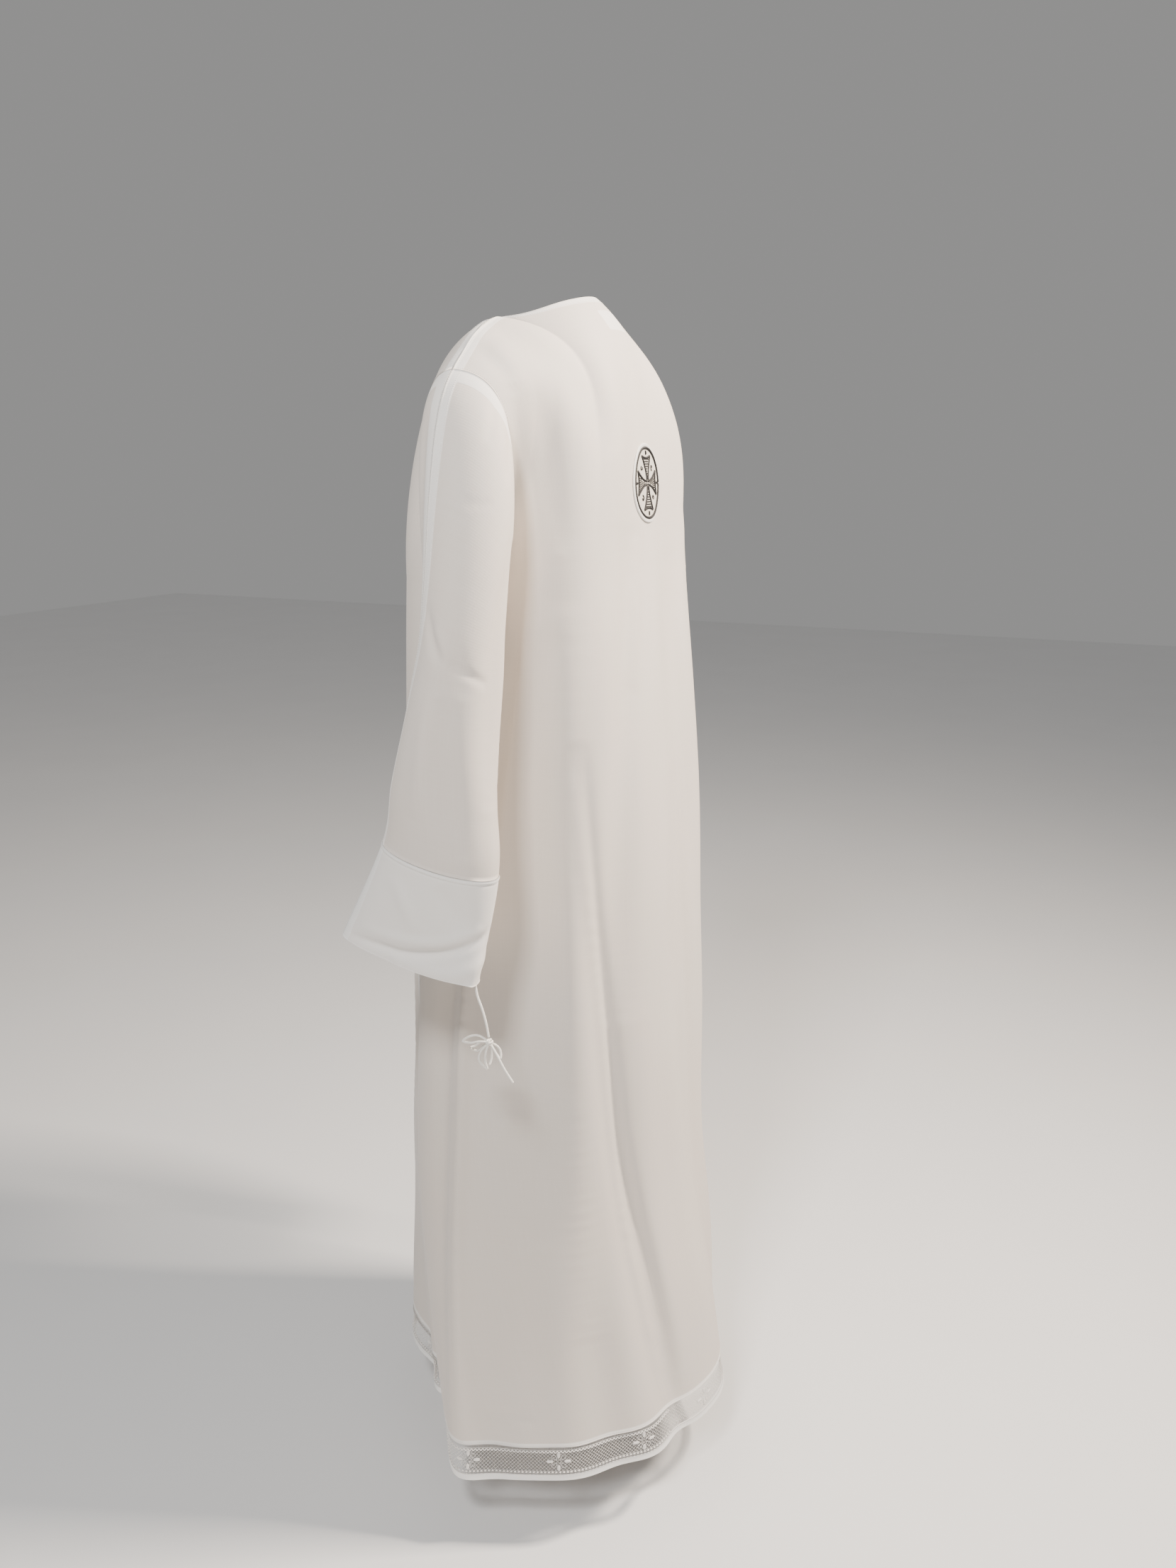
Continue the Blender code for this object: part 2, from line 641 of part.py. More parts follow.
def facing_strip(name, points_at, first, last, all_columns):
    """One strip of facing along the neckline, just inside the panel, which ends short of the seams."""
    columns = [first + 0.8, *range(first + 2, last - 1), last - 0.8]
    points, normals = [], []
    for distance in (0.0008, NECK_FACING_WIDTH):
        line, ways = [], []
        for column in columns:
            row = distance / np.linalg.norm(points_at(column, 1) - points_at(column, 0))
            line.append(on_cells(points_at, column, row))
            ways.append(outward(points_at, column, 0.15, all_columns, PANEL_ROWS))
        points.append(line)
        normals.append(ways)
    points, normals = np.array(points), np.array(normals)
    points = points - normals * (CLOTH + 2 * SEAM_GAP)
    index = np.arange(points.size // 3).reshape(points.shape[:2])
    faces = grid_faces(index)
    cloth_wall(name, points.reshape(-1, 3), normals.reshape(-1, 3), faces, NECK_FACING_CLOTH, "cloth")


def on_cells(points_at, column, row):
    """A point on the flat cells of a panel, between its corners at whole columns and rows."""
    left, top = math.floor(column), math.floor(row)
    across, down = column - left, row - top
    upper = points_at(left, top) * (1 - across) + points_at(left + 1, top) * across
    lower = points_at(left, top + 1) * (1 - across) + points_at(left + 1, top + 1) * across
    return upper * (1 - down) + lower * down


def on_back(column, row, across, up):
    """A point of the back and its normal, across and up from a place, by that place's own slopes."""
    step = 0.05
    by_column = (back_point(column + step, row) - back_point(column - step, row)) / (2 * step)
    by_row = (back_point(column, row + step) - back_point(column, row - step)) / (2 * step)
    place = (column - across / np.linalg.norm(by_column), row - up / np.linalg.norm(by_row))
    normal = outward(back_point, *place, BACK_FOLDS[-1][0], PANEL_ROWS)
    return on_cells(back_point, *place), normal


def make_emblem():
    """A round embroidered patch on the middle of the upper back, sewn on outside."""
    places = [(0.0, 0.0)]
    for ring in range(1, EMBLEM_RINGS + 1):
        for side in range(EMBLEM_SIDES):
            turn = 2 * math.pi * side / EMBLEM_SIDES
            radius = EMBLEM_RADIUS * ring / EMBLEM_RINGS
            places.append((radius * math.cos(turn), radius * math.sin(turn)))
    found = [on_back(EMBLEM_COLUMN, EMBLEM_ROW, *place) for place in places]
    points = np.array([point for point, _ in found])
    normals = np.array([normal for _, normal in found])
    points = points + normals * (EMBLEM_LIFT + EMBLEM_THICKNESS)
    faces = []
    for side in range(EMBLEM_SIDES):
        after = (side + 1) % EMBLEM_SIDES
        faces.append((0, 1 + side, 1 + after, 1 + after))
        for ring in range(EMBLEM_RINGS - 1):
            inner, outer = 1 + ring * EMBLEM_SIDES, 1 + (ring + 1) * EMBLEM_SIDES
            faces.append((inner + side, outer + side, outer + after, inner + after))
    disc_wall("emblem", points, normals, faces, EMBLEM_THICKNESS, "emblem")


def disc_wall(name, points, normals, faces, thickness, colour):
    """A closed wall from a disc whose innermost faces are triangles, written with their last point twice."""
    count = len(points)
    outer_ring = range(count - EMBLEM_SIDES, count)
    trimmed = [tuple(dict.fromkeys(face)) for face in faces]
    inner = [tuple(point + count for point in reversed(face)) for face in trimmed]
    rim = []
    for side, point in enumerate(outer_ring):
        after = outer_ring[(side + 1) % EMBLEM_SIDES]
        rim.append((after, point, point + count, after + count))
    mesh = bpy.data.meshes.new(name)
    places = np.concatenate([points, points - normals * thickness])
    mesh.from_pydata(places.tolist(), [], [*trimmed, *inner, *rim])
    add_part(name, mesh, colour)


def make_label():
    """A small blank label inside the nape, which shows through the thin cloth."""
    columns = BACK_FOLDS[-1][0]
    points = np.array([[on_cells(back_point, c, r) for c in LABEL_COLUMNS] for r in LABEL_ROWS])
    normals = np.array(
        [
            [outward(back_point, c, r, columns, PANEL_ROWS) for c in LABEL_COLUMNS]
            for r in LABEL_ROWS
        ]
    )
    points = points - normals * (CLOTH + 2 * SEAM_GAP)
    index = np.arange(points.size // 3).reshape(points.shape[:2])
    faces = grid_faces(index)
    cloth_wall("label", points.reshape(-1, 3), normals.reshape(-1, 3), faces, LABEL_THICKNESS, "label")


def smooth_path(knots, steps):
    """Points along a smooth curve through the knots."""
    knots = np.array(knots, float)
    slopes = np.gradient(knots, axis=0)
    shares = np.arange(steps) / steps
    parts = [
        hermite(knots[i], slopes[i], knots[i + 1], slopes[i + 1], shares) for i in range(len(knots) - 1)
    ]
    return np.concatenate([*parts, knots[-1:]])


def strand(name, path):
    """A round cord along a path, as a curve object with a bevel and closed ends."""
    curve = bpy.data.curves.new(name, "CURVE")
    curve.dimensions = "3D"
    spline = curve.splines.new("POLY")
    spline.points.add(len(path) - 1)
    for point, place in zip(spline.points, path):
        point.co = (*place, 1)
    curve.bevel_depth = TIE_DIAMETER / 2
    curve.bevel_resolution = 1
    curve.use_fill_caps = True
    made = bpy.data.objects.new(name, curve)
    robe.objects.link(made)
    return made


def as_mesh(item):
    """Makes a curve object into a closed mesh object at the same place, and removes the curve."""
    graph = bpy.context.evaluated_depsgraph_get()
    mesh = bpy.data.meshes.new_from_object(item.evaluated_get(graph))
    work = bmesh.new()
    work.from_mesh(mesh)
    bmesh.ops.remove_doubles(work, verts=work.verts, dist=1e-6)
    bmesh.ops.recalc_face_normals(work, faces=work.faces)
    work.to_mesh(mesh)
    work.free()
    name = item.name
    bpy.data.objects.remove(item)
    made = bpy.data.objects.new(name + "_solid", mesh)
    robe.objects.link(made)
    return made


def cuff_corner():
    """The lowest rear point of the left cuff's outer face, where the tie leaves it."""
    overarm, underarm = CUFF_END[-2:]
    column = SLEEVE_COLUMNS / 2 * (180 - overarm) / (underarm - overarm)
    return sleeve_point(column, SLEEVE_ROWS + CUFF_ROWS)


def make_ties():
    """On each cuff: the cord that hangs from its corner, and the knot with its loops and ends."""
    corner = cuff_corner()
    for side, flip in [("left", np.ones(3)), ("right", MIRROR)]:
        drop = strand(f"tie_{side}", (corner + smooth_path(TIE_DROP, STRAND_STEPS)) * flip)
        drop.data.materials.append(material("cord"))
        knot_place = (corner + np.array(KNOT_PLACE)) * flip
        bpy.ops.mesh.primitive_uv_sphere_add(
            segments=10, ring_count=8, radius=KNOT_RADIUS, location=knot_place
        )
        knot = bpy.context.object
        knot.name = knot.data.name = f"bow_{side}"
        for collection in list(knot.users_collection):
            collection.objects.unlink(knot)
        robe.objects.link(knot)
        knot.data.materials.append(material("cord"))
        for number, knots in enumerate(BOW_STRANDS):
            path = knot_place + smooth_path(knots, STRAND_STEPS) * flip
            loop = as_mesh(strand(f"strand_{side}_{number}", path))
            join_to(knot, loop)


def join_to(base, tool):
    """Joins one closed mesh to another with a Boolean union, and removes the second."""
    union = base.modifiers.new("join", "BOOLEAN")
    union.operation = "UNION"
    union.object = tool
    graph = bpy.context.evaluated_depsgraph_get()
    graph.update()
    mesh = bpy.data.meshes.new_from_object(base.evaluated_get(graph))
    base.modifiers.clear()
    base.data = mesh
    bpy.data.objects.remove(tool)


def main():
    """Makes each piece of the robe in turn."""
    make_back()
    make_front()
    make_sleeves()
    make_cuffs()
    for part, folds in [("back", BACK_FOLDS), ("front", FRONT_FOLDS)]:
        make_band(f"hem_lace_{part}", folds, LACE_TOP_Z, LACE_FOOT_Z, 2, "lace")
        make_band(f"hem_strip_{part}", folds, LACE_FOOT_Z, HEM_Z, 1, "cloth")
    make_neck_facing()
    make_emblem()
    make_label()
    make_ties()


clear_scene()
robe = bpy.data.collections.new("alb")
bpy.context.scene.collection.children.link(robe)
main()
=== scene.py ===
"""The look of the alb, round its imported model: first its cords, then each piece as it is sewn on."""

import math

import bpy
import numpy as np
from mathutils import Matrix


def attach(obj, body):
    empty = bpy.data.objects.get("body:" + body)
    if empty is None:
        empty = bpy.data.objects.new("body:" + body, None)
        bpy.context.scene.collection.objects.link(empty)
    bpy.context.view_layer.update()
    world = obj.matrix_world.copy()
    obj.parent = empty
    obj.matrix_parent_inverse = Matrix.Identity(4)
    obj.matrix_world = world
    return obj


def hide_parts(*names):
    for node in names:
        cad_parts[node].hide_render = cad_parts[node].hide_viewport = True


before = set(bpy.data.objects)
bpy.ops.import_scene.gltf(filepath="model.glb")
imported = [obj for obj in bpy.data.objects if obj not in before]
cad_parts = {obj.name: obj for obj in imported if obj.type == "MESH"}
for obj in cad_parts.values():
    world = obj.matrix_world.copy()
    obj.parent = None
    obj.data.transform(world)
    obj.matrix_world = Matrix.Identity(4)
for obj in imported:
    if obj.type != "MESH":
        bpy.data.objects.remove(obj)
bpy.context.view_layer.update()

# Camera: it stands behind the robe's left shoulder, a little over it, and looks down at it.
EYE = (1.315, 0.660, -0.180)
LOOK_DOWN = math.radians(15)
across = np.array([-0.4067, 0.9135, 0.0])
level = np.array([-0.9135, -0.4067, 0.0])
ahead = level * math.cos(LOOK_DOWN) - np.array([0, 0, math.sin(LOOK_DOWN)])
camera = bpy.data.objects.new("camera", bpy.data.cameras.new("camera"))
camera.data.lens = 27.0
camera.data.sensor_width = 36.0
turn = np.stack([across, np.cross(across, ahead), -ahead], axis=1)
camera.matrix_world = Matrix.Translation(EYE) @ Matrix(turn.tolist()).to_4x4()
bpy.context.scene.collection.objects.link(camera)
bpy.context.scene.camera = camera


# Ties: on each cuff a thin white cotton cord hangs from the lowest rear corner. It is twisted from
# three plies, and its end is knotted in a small bow with loops of uneven length and one long tail.
CUFF_CORNER = (0.29382, 0.07200, -0.71900)
TIE_DIAMETER = 0.0026
TIE_DROP = [
    (-0.0010, -0.0006, -0.0005),
    (-0.0006, 0.0020, -0.0130),
    (0.0006, 0.0080, -0.0265),
    (0.0018, 0.0130, -0.0410),
    (0.0025, 0.0165, -0.0580),
]
KNOT_PLACE = (0.0028, 0.0173, -0.0632)
# Each loop of the bow: its points from the knot's middle, and how far its two runs stand apart.
BOW_LOOPS = [
    # middle_near, middle_far, tip, apart
    ((0.004, -0.010, 0.004), (0.006, -0.020, 0.002), (0.004, -0.031, -0.003), 0.0030),
    ((-0.002, -0.010, -0.005), (-0.004, -0.019, -0.013), (-0.002, -0.025, -0.013), 0.0024),
    ((0.005, -0.005, -0.010), (0.006, -0.006, -0.021), (0.003, -0.002, -0.031), 0.0028),
    ((-0.005, 0.004, -0.007), (-0.007, 0.007, -0.014), (-0.006, 0.010, -0.020), 0.0022),
]
BOW_ENDS = [
    [(0, 0, 0), (-0.003, 0.001, -0.010), (-0.002, 0.001, -0.020), (0.001, 0.000, -0.027)],
    [(0, 0, 0), (0.002, 0.010, -0.012), (0.003, 0.019, -0.026), (0.003, 0.030, -0.041)],
]
LEFT, RIGHT = np.ones(3), np.array([-1.0, 1.0, 1.0])


def hermite(start, leaves, end, arrives, share):
    """The cubic from start to end, with the given directions at its ends, at shares of the way."""
    s = share
    return (
        start * (1 + 2 * s) * (1 - s) ** 2
        + leaves * s * (1 - s) ** 2
        + end * s**2 * (3 - 2 * s)
        + arrives * s**2 * (s - 1)
    )


def smooth_path(knots, steps):
    """Points along cubics through the knots, which have the mean slope of their neighbours."""
    knots = np.array(knots, float)
    slopes = np.gradient(knots, axis=0)
    shares = (np.arange(steps) / steps)[None, :, None]
    spans = (knots[:-1, None], slopes[:-1, None], knots[1:, None], slopes[1:, None])
    return np.concatenate([hermite(*spans, shares).reshape(-1, 3), knots[-1:]])


def lengths_along(path):
    """How far each point lies along a path."""
    steps = np.linalg.norm(np.diff(path, axis=0), axis=1)
    return np.concatenate([[0.0], np.cumsum(steps)])


def respaced(path, places):
    """Points of a path at given lengths along it."""
    along = lengths_along(path)
    return np.stack([np.interp(places, along, path[:, axis]) for axis in range(3)], axis=1)


def cord_tube(path, radius, sides, step, plies=0, lay=0.0045):
    """Points, faces and map of a round cord carried along a path, with rounded ends.

    Round the path the radius grows and shrinks by a twentieth, plies times a turn, and the pattern
    turns once in each lay, as the plies of a twisted cord do.
    """
    total = lengths_along(path)[-1]
    near = radius * np.array([0, 0.12, 0.4, 0.75, 1.0])
    count = max(2, int((total - 2 * radius) / step))
    places = np.concatenate([near, np.linspace(radius, total - radius, count)[1:-1], total - near[::-1]])
    middle = respaced(path, places)
    rise = np.minimum(np.minimum(places, total - places) / radius, 1)
    size = radius * np.maximum(np.sqrt(1 - (1 - rise) ** 2), 0.06)
    way = np.gradient(middle, axis=0)
    way /= np.linalg.norm(way, axis=1, keepdims=True)
    flat = np.linalg.svd(middle - middle.mean(0))[2][2]
    one = np.cross(way, flat)
    one /= np.linalg.norm(one, axis=1, keepdims=True)
    two = np.cross(way, one)
    angle = 2 * np.pi * np.arange(sides) / sides
    relief = 1 + 0.06 * np.cos(plies * angle[None] - 2 * np.pi * places[:, None] / lay * min(plies, 1))
    reach = (size[:, None] * relief)[..., None]
    ring = np.cos(angle)[None, :, None] * one[:, None] + np.sin(angle)[None, :, None] * two[:, None]
    points = (middle[:, None] + reach * ring).reshape(-1, 3)
    index = np.arange(len(places) * sides).reshape(len(places), sides)
    after = np.roll(index, -1, axis=1)
    faces = np.stack([index[:-1], after[:-1], after[1:], index[1:]], -1).reshape(-1, 4).tolist()
    faces += [index[0][::-1].tolist(), index[-1].tolist()]
    spread = np.stack(np.broadcast_arrays(places[:, None], angle[None] * radius), -1)
    return points, faces, spread.reshape(-1, 2)


def joined(parts):
    """Several (points, faces, map) taken together as one."""
    points, faces, spreads, base = [], [], [], 0
    for own_points, own_faces, own_spread in parts:
        points.append(own_points)
        spreads.append(own_spread)
        faces += [[base + corner for corner in face] for face in own_faces]
        base += len(own_points)
    return np.concatenate(points), faces, np.concatenate(spreads)


def sewn_piece(name, points, faces, spread, finish, slot, facts=None):
    """A smooth mesh object with its map in metres and named values at its points, riding on the robe."""
    mesh = bpy.data.meshes.new(name)
    mesh.from_pydata(points.tolist(), [], faces)
    corners = np.empty(len(mesh.loops), np.int32)
    mesh.loops.foreach_get("vertex_index", corners)
    mesh.uv_layers.new(name="cloth_map").data.foreach_set("uv", spread[corners].astype(np.float32).ravel())
    for fact, values in (facts or {}).items():
        held = mesh.attributes.new(fact, "FLOAT", "POINT")
        held.data.foreach_set("value", np.asarray(values, np.float32))
    mesh.shade_smooth()
    mesh.materials.append(finish)
    mesh.validate()
    piece = bpy.data.objects.new(name, mesh)
    bpy.context.scene.collection.objects.link(piece)
    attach(piece, "root")
    return piece


def node(tree, kind, settings=None, **inputs):
    """A shader node with its properties set, and its inputs set or joined by name."""
    made = tree.nodes.new(kind)
    for name, value in (settings or {}).items():
        setattr(made, name, value)
    for name, value in inputs.items():
        socket = made.inputs[int(name[1:])] if name[0] == "i" and name[1:].isdigit() else made.inputs[name]
        if isinstance(value, bpy.types.NodeSocket):
            tree.links.new(value, socket)
        else:
            socket.default_value = value
    return made


def new_finish(name, roughness, sheen):
    """A material and its tree, Principled shader and the piece's map, ready for a colour and a bump."""
    made = bpy.data.materials.new(name)
    made.use_nodes = True
    shader = made.node_tree.nodes["Principled BSDF"]
    shader.inputs["Roughness"].default_value = roughness
    shader.inputs["Sheen Weight"].default_value = sheen
    shader.inputs["Sheen Roughness"].default_value = 0.5
    shader.inputs["Specular IOR Level"].default_value = 0.25
    cloth_map = node(made.node_tree, "ShaderNodeUVMap", {"uv_map": "cloth_map"}).outputs[0]
    return made, made.node_tree, shader, cloth_map


def maths(tree, operation, first, second=0.0, clamp=False):
    """The result of a Math node."""
    settings = {"operation": operation, "use_clamp": clamp}
    return node(tree, "ShaderNodeMath", settings, i0=first, i1=second).outputs[0]


def mixed(tree, share, first, second, blend="MIX"):
    """The colour that a Mix node gives from two."""
    settings = {"data_type": "RGBA", "blend_type": blend}
    made = node(tree, "ShaderNodeMix", settings, i0=share, i6=first, i7=second)
    return made.outputs[2]


def cord_finish():
    """White cotton cord: fibres across its plies, and a little shade and dust between them."""
    made, tree, shader, cloth_map = new_finish("cotton_cord", 0.82, 0.35)
    far = node(tree, "ShaderNodeMapping", Vector=cloth_map, Scale=(900, 2600, 1), Rotation=(0, 0, 0.9))
    fibres = node(tree, "ShaderNodeTexNoise", Vector=far.outputs[0], Scale=1.0, Detail=3.0).outputs[0]
    shade = mixed(tree, fibres, (0.80, 0.77, 0.70, 1), (0.93, 0.91, 0.86, 1))
    tree.links.new(shade, shader.inputs["Base Color"])
    bump = node(tree, "ShaderNodeBump", Strength=0.35, Distance=0.0003, Height=fibres)
    tree.links.new(bump.outputs[0], shader.inputs["Normal"])
    return made


cotton_cord = cord_finish()
for side, flip in [("left", LEFT), ("right", RIGHT)]:
    corner = np.array(CUFF_CORNER)
    drop_path = (corner + smooth_path(TIE_DROP, 16)) * flip
    knot = (corner + np.array(KNOT_PLACE)) * flip
    drop = sewn_piece(
        f"tie_cord_{side}", *cord_tube(drop_path, TIE_DIAMETER / 2, 18, 0.0005, 3), cotton_cord, "cord"
    )
    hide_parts(f"tie_{side}")
    turns = []
    for number, (near, far, tip, apart) in enumerate(BOW_LOOPS):
        near, far, tip = np.array(near), np.array(far), np.array(tip)
        beside = np.cross(tip, (1.0, 0.2 * number, 0.3))
        beside *= apart / np.linalg.norm(beside)
        knots = [(0, 0, 0), near + beside, far + beside * 1.2, tip, far - beside * 1.2, near - beside]
        turns.append(knot + smooth_path([*knots, (0.0005, 0.0005, 0.0005)], 10) * flip)
    turns += [knot + smooth_path(ends, 10) * flip for ends in BOW_ENDS]
    around = np.linspace(0, 2 * np.pi, 40)
    for tilt, size in [(0.3, 0.0033), (1.3, 0.0034), (2.3, 0.0031)]:
        ring = np.stack([np.cos(around), np.sin(around) * math.cos(tilt), np.sin(around) * math.sin(tilt)], 1)
        turns.append(knot + ring * size * flip)
    tubes = [cord_tube(path, TIE_DIAMETER * 0.47, 12, 0.0006, 3) for path in turns]
    bow = sewn_piece(f"tie_bow_{side}", *joined(tubes), cotton_cord, "cord")
    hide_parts(f"bow_{side}")
    float(lengths_along(drop_path)[-1])
    respaced(drop_path, np.linspace(0, lengths_along(drop_path)[-1], 48))


# Back: one panel of thin white cotton lawn from the nape to the lace, wide enough to wrap
# round to the front. It hangs from the shoulder blades in soft folds, and its side seams are
# pressed open inside, so that their turnings show through as paler bands.
CHEST_Z = -0.300
HEM_Z = -1.430
HEM_STRIP_HEIGHT = 0.008
LACE_FOOT_Z = HEM_Z + HEM_STRIP_HEIGHT
LACE_TOP_Z = LACE_FOOT_Z + 0.040
BODY_SECTIONS = [
    # z, centre_y, half_width, front, back, squareness
    (-0.300, 0.020, 0.187, 0.119, 0.141, 4.2),
    (-0.450, 0.024, 0.190, 0.137, 0.155, 3.6),
    (-0.650, 0.028, 0.195, 0.156, 0.169, 3.0),
    (-0.865, 0.031, 0.203, 0.181, 0.178, 2.6),
    (-1.070, 0.034, 0.213, 0.210, 0.185, 2.3),
    (-1.250, 0.037, 0.222, 0.223, 0.210, 2.1),
    (-1.430, 0.040, 0.232, 0.232, 0.226, 2.0),
]
# The folds, as angles round the body in degrees and depths in millimetres, at three heights.
BACK_FOLDS = [
    # column, angle_chest, angle_knee, angle_hem, out_chest, out_knee, out_hem, width
    (0, 3, -44, -32, 0, -16, -50, 10),
    (5, 14, -8, -7, 0, 14, 30, 8),
    (8, 22, 8, 5, 0, 2, 7, 9),
    (11, 31, 24, 24, 0, 0, 0, 12),
    (14, 42, 34, 43, 0, -4, -10, 10),
    (18, 60, 46, 69, -2, -8, -12, 8),
    (22, 84, 78, 95, 2, 4, 7, 10),
    (25, 103, 102, 118, -3, -8, -13, 9),
    (29, 128, 132, 140, 2, 5, 9, 11),
    (33, 150, 160, 164, -3, -7, -12, 9),
    (36, 165, 188, 188, 0, 16, 28, 9),
    (40, 177, 222, 212, 0, -14, -42, 10),
]
FRONT_FOLDS = [
    # column, angle_chest, angle_knee, angle_hem, out_chest, out_knee, out_hem, width
    (0, 177, 222, 212, 0, 0, 0, 9),
    (4, 200, 236, 236, 0, -6, -32, 12),
    (8, 228, 250, 256, 0, 4, 12, 9),
    (14, 268, 268, 271, -2, -7, -14, 8),
    (19, 300, 284, 278, 0, 3, 10, 9),
    (24, 336, 300, 306, 0, -6, -41, 13),
    (28, 363, 316, 328, 0, 0, 0, 9),
]
YOKE_ROWS, SKIRT_ROWS = 12, 14
NECK_POINT = np.array([0.085, 0.004, -0.018])
SHOULDER_TIP = np.array([0.205, 0.014, -0.081])
NAPE = np.array([0.0, 0.081, 0.009])
THROAT = np.array([0.0, -0.088, -0.075])
SHOULDER_DROOP = 1.6
YOKE_REACH = 0.34
ARMHOLE_COLUMNS = 8
SHEER = 0.0007


def through_three(first, middle, last, share):
    """The parabola through three values at shares 0, 1/2 and 1."""
    return (
        first * (1 - share) * (1 - 2 * share)
        + middle * 4 * share * (1 - share)
        + last * share * (2 * share - 1)
    )


def table_at(rows, z):
    """Each column of a table at heights z, by cubics through its rows."""
    table = np.array(rows, float)
    place, want = -table[:, 0], -np.asarray(z, float)
    slopes = np.gradient(table, place, axis=0)
    i = np.clip(np.searchsorted(place, want, side="right") - 1, 0, len(place) - 2)
    step = (place[i + 1] - place[i])[..., None]
    share = np.clip((want - place[i])[..., None] / step, 0, 1)
    found = hermite(table[i], slopes[i] * step, table[i + 1], slopes[i + 1] * step, share)
    return np.moveaxis(found, -1, 0)


def skirt_share(z):
    """0 at the chest and 1 at the hem."""
    return (CHEST_Z - z) / (CHEST_Z - HEM_Z)


def body_at(angles, z):
    """Points of the body at angles and heights: a squared oval, pushed by a bell curve at each fold."""
    _, centre_y, half_width, front, back, squareness = table_at(BODY_SECTIONS, z)
    turn = np.radians(angles)
    side, along = np.cos(turn), np.sin(turn)
    depth = np.where(along < 0, front, back)
    sideways, lengthways = np.abs(side / half_width), np.abs(along / depth)
    oval = (sideways**squareness + lengthways**squareness) ** (-1 / squareness)
    share = skirt_share(z)
    for _, chest, knee, hem, out_chest, out_knee, out_hem, width in BACK_FOLDS + FRONT_FOLDS:
        away = (angles - through_three(chest, knee, hem, share) + 180) % 360 - 180
        out = through_three(out_chest, out_knee, out_hem, share) / 1000
        oval = oval + out * np.exp(-((away / width) ** 2))
    return np.stack([oval * side, centre_y + oval * along, np.broadcast_to(z, oval.shape)], axis=-1)


def fold_angles(folds, columns, share):
    """The angle of each column at shares of the skirt, evenly spread between the folds."""
    table = np.array(folds, float)
    weights = np.array([np.interp(columns, table[:, 0], row) for row in np.eye(len(table))])
    at_folds = through_three(*table[:, 1:4, None].transpose(1, 0, 2), np.atleast_1d(share)[None])
    return np.tensordot(at_folds, weights, axes=(0, 0))


class Panel:
    """A body panel: what its top edge, its folds and the cloth's directions there are."""

    def __init__(self, folds, neck_columns, low_point, leaves, at_underarm, from_left):
        self.folds, self.neck_columns, self.low_point = folds, neck_columns, low_point
        self.leaves, self.at_underarm = np.array(leaves), np.array(at_underarm)
        self.from_left, self.last = from_left, folds[-1][0]

    def top_edge(self, left_first):
        """Points of the top edge, and how near the neck each is: 0 at the tip, 1/2 and then 1."""
        first, last_neck = self.neck_columns
        on_left, on_right = left_first <= first, left_first >= last_neck
        from_right = (self.last - left_first) / (self.last - last_neck)
        share = np.where(on_left, 1 - left_first / first, 1 - from_right)
        share = np.clip(share, 0, 1)[:, None]
        shoulder = NECK_POINT + (SHOULDER_TIP - NECK_POINT) * share
        shoulder[:, 2] = NECK_POINT[2] + (SHOULDER_TIP[2] - NECK_POINT[2]) * share[:, 0] ** SHOULDER_DROOP
        shoulder[on_right] *= RIGHT
        turn = np.pi * np.clip((left_first - first) / (last_neck - first), 0, 1)
        rise = np.sin(turn)
        neckline = np.stack(
            [
                NECK_POINT[0] * np.cos(turn),
                NECK_POINT[1] + (self.low_point[1] - NECK_POINT[1]) * rise,
                NECK_POINT[2] + (self.low_point[2] - NECK_POINT[2]) * rise**2,
            ],
            axis=1,
        )
        beside = on_left | on_right
        near = np.where(beside, (1 - share[:, 0]) * 0.5, 0.5 + 0.5 * rise)
        return np.where(beside[:, None], shoulder, neckline), near

    def yoke(self, columns, shares):
        """Cubics that drop from the top edge to the chest, at columns and shares of the way."""
        left_first = columns if self.from_left else self.last - columns
        start, near = self.top_edge(left_first)
        side = np.where((left_first * 2 <= sum(self.neck_columns))[:, None], LEFT, RIGHT)
        leaves = through_three(*self.leaves[:, None, :], near[:, None]) * side
        angles = fold_angles(self.folds, columns, 0.0)[0]
        end = body_at(angles, np.full_like(angles, CHEST_Z))
        below = body_at(angles, np.full_like(angles, CHEST_Z - 0.02)) - end
        arrives = below / np.linalg.norm(below, axis=1, keepdims=True) * YOKE_REACH
        from_armhole = np.minimum(left_first, self.last - left_first) / ARMHOLE_COLUMNS
        weight = (np.clip(1 - from_armhole, 0, 1) ** 1.5)[:, None]
        arrives = arrives * (1 - weight) + self.at_underarm * side * weight
        return hermite(start[None], leaves[None], end[None], arrives[None], shares[:, None, None])

    def at(self, columns, rows):
        """Points of the panel at each row and column: the yoke, and below it the skirt."""
        upper = rows <= YOKE_ROWS
        z = CHEST_Z + (LACE_TOP_Z - CHEST_Z) * (rows[~upper] - YOKE_ROWS) / SKIRT_ROWS
        skirt = body_at(fold_angles(self.folds, columns, skirt_share(z)), z[:, None])
        return np.concatenate([self.yoke(columns, rows[upper] / YOKE_ROWS), skirt])


back_panel = Panel(
    BACK_FOLDS,
    (14, 32),
    NAPE,
    [(0.02, 0.28, -0.02), (0.01, 0.51, -0.07), (0.0, 0.23, -0.19)],
    (0.0, -0.15, -0.27),
    True,
)


def normals_of(points):
    """Unit normals of a grid of points, from its slopes down and across."""
    normals = np.cross(np.gradient(points, axis=0), np.gradient(points, axis=1))
    return normals / np.maximum(np.linalg.norm(normals, axis=-1, keepdims=True), 1e-12)


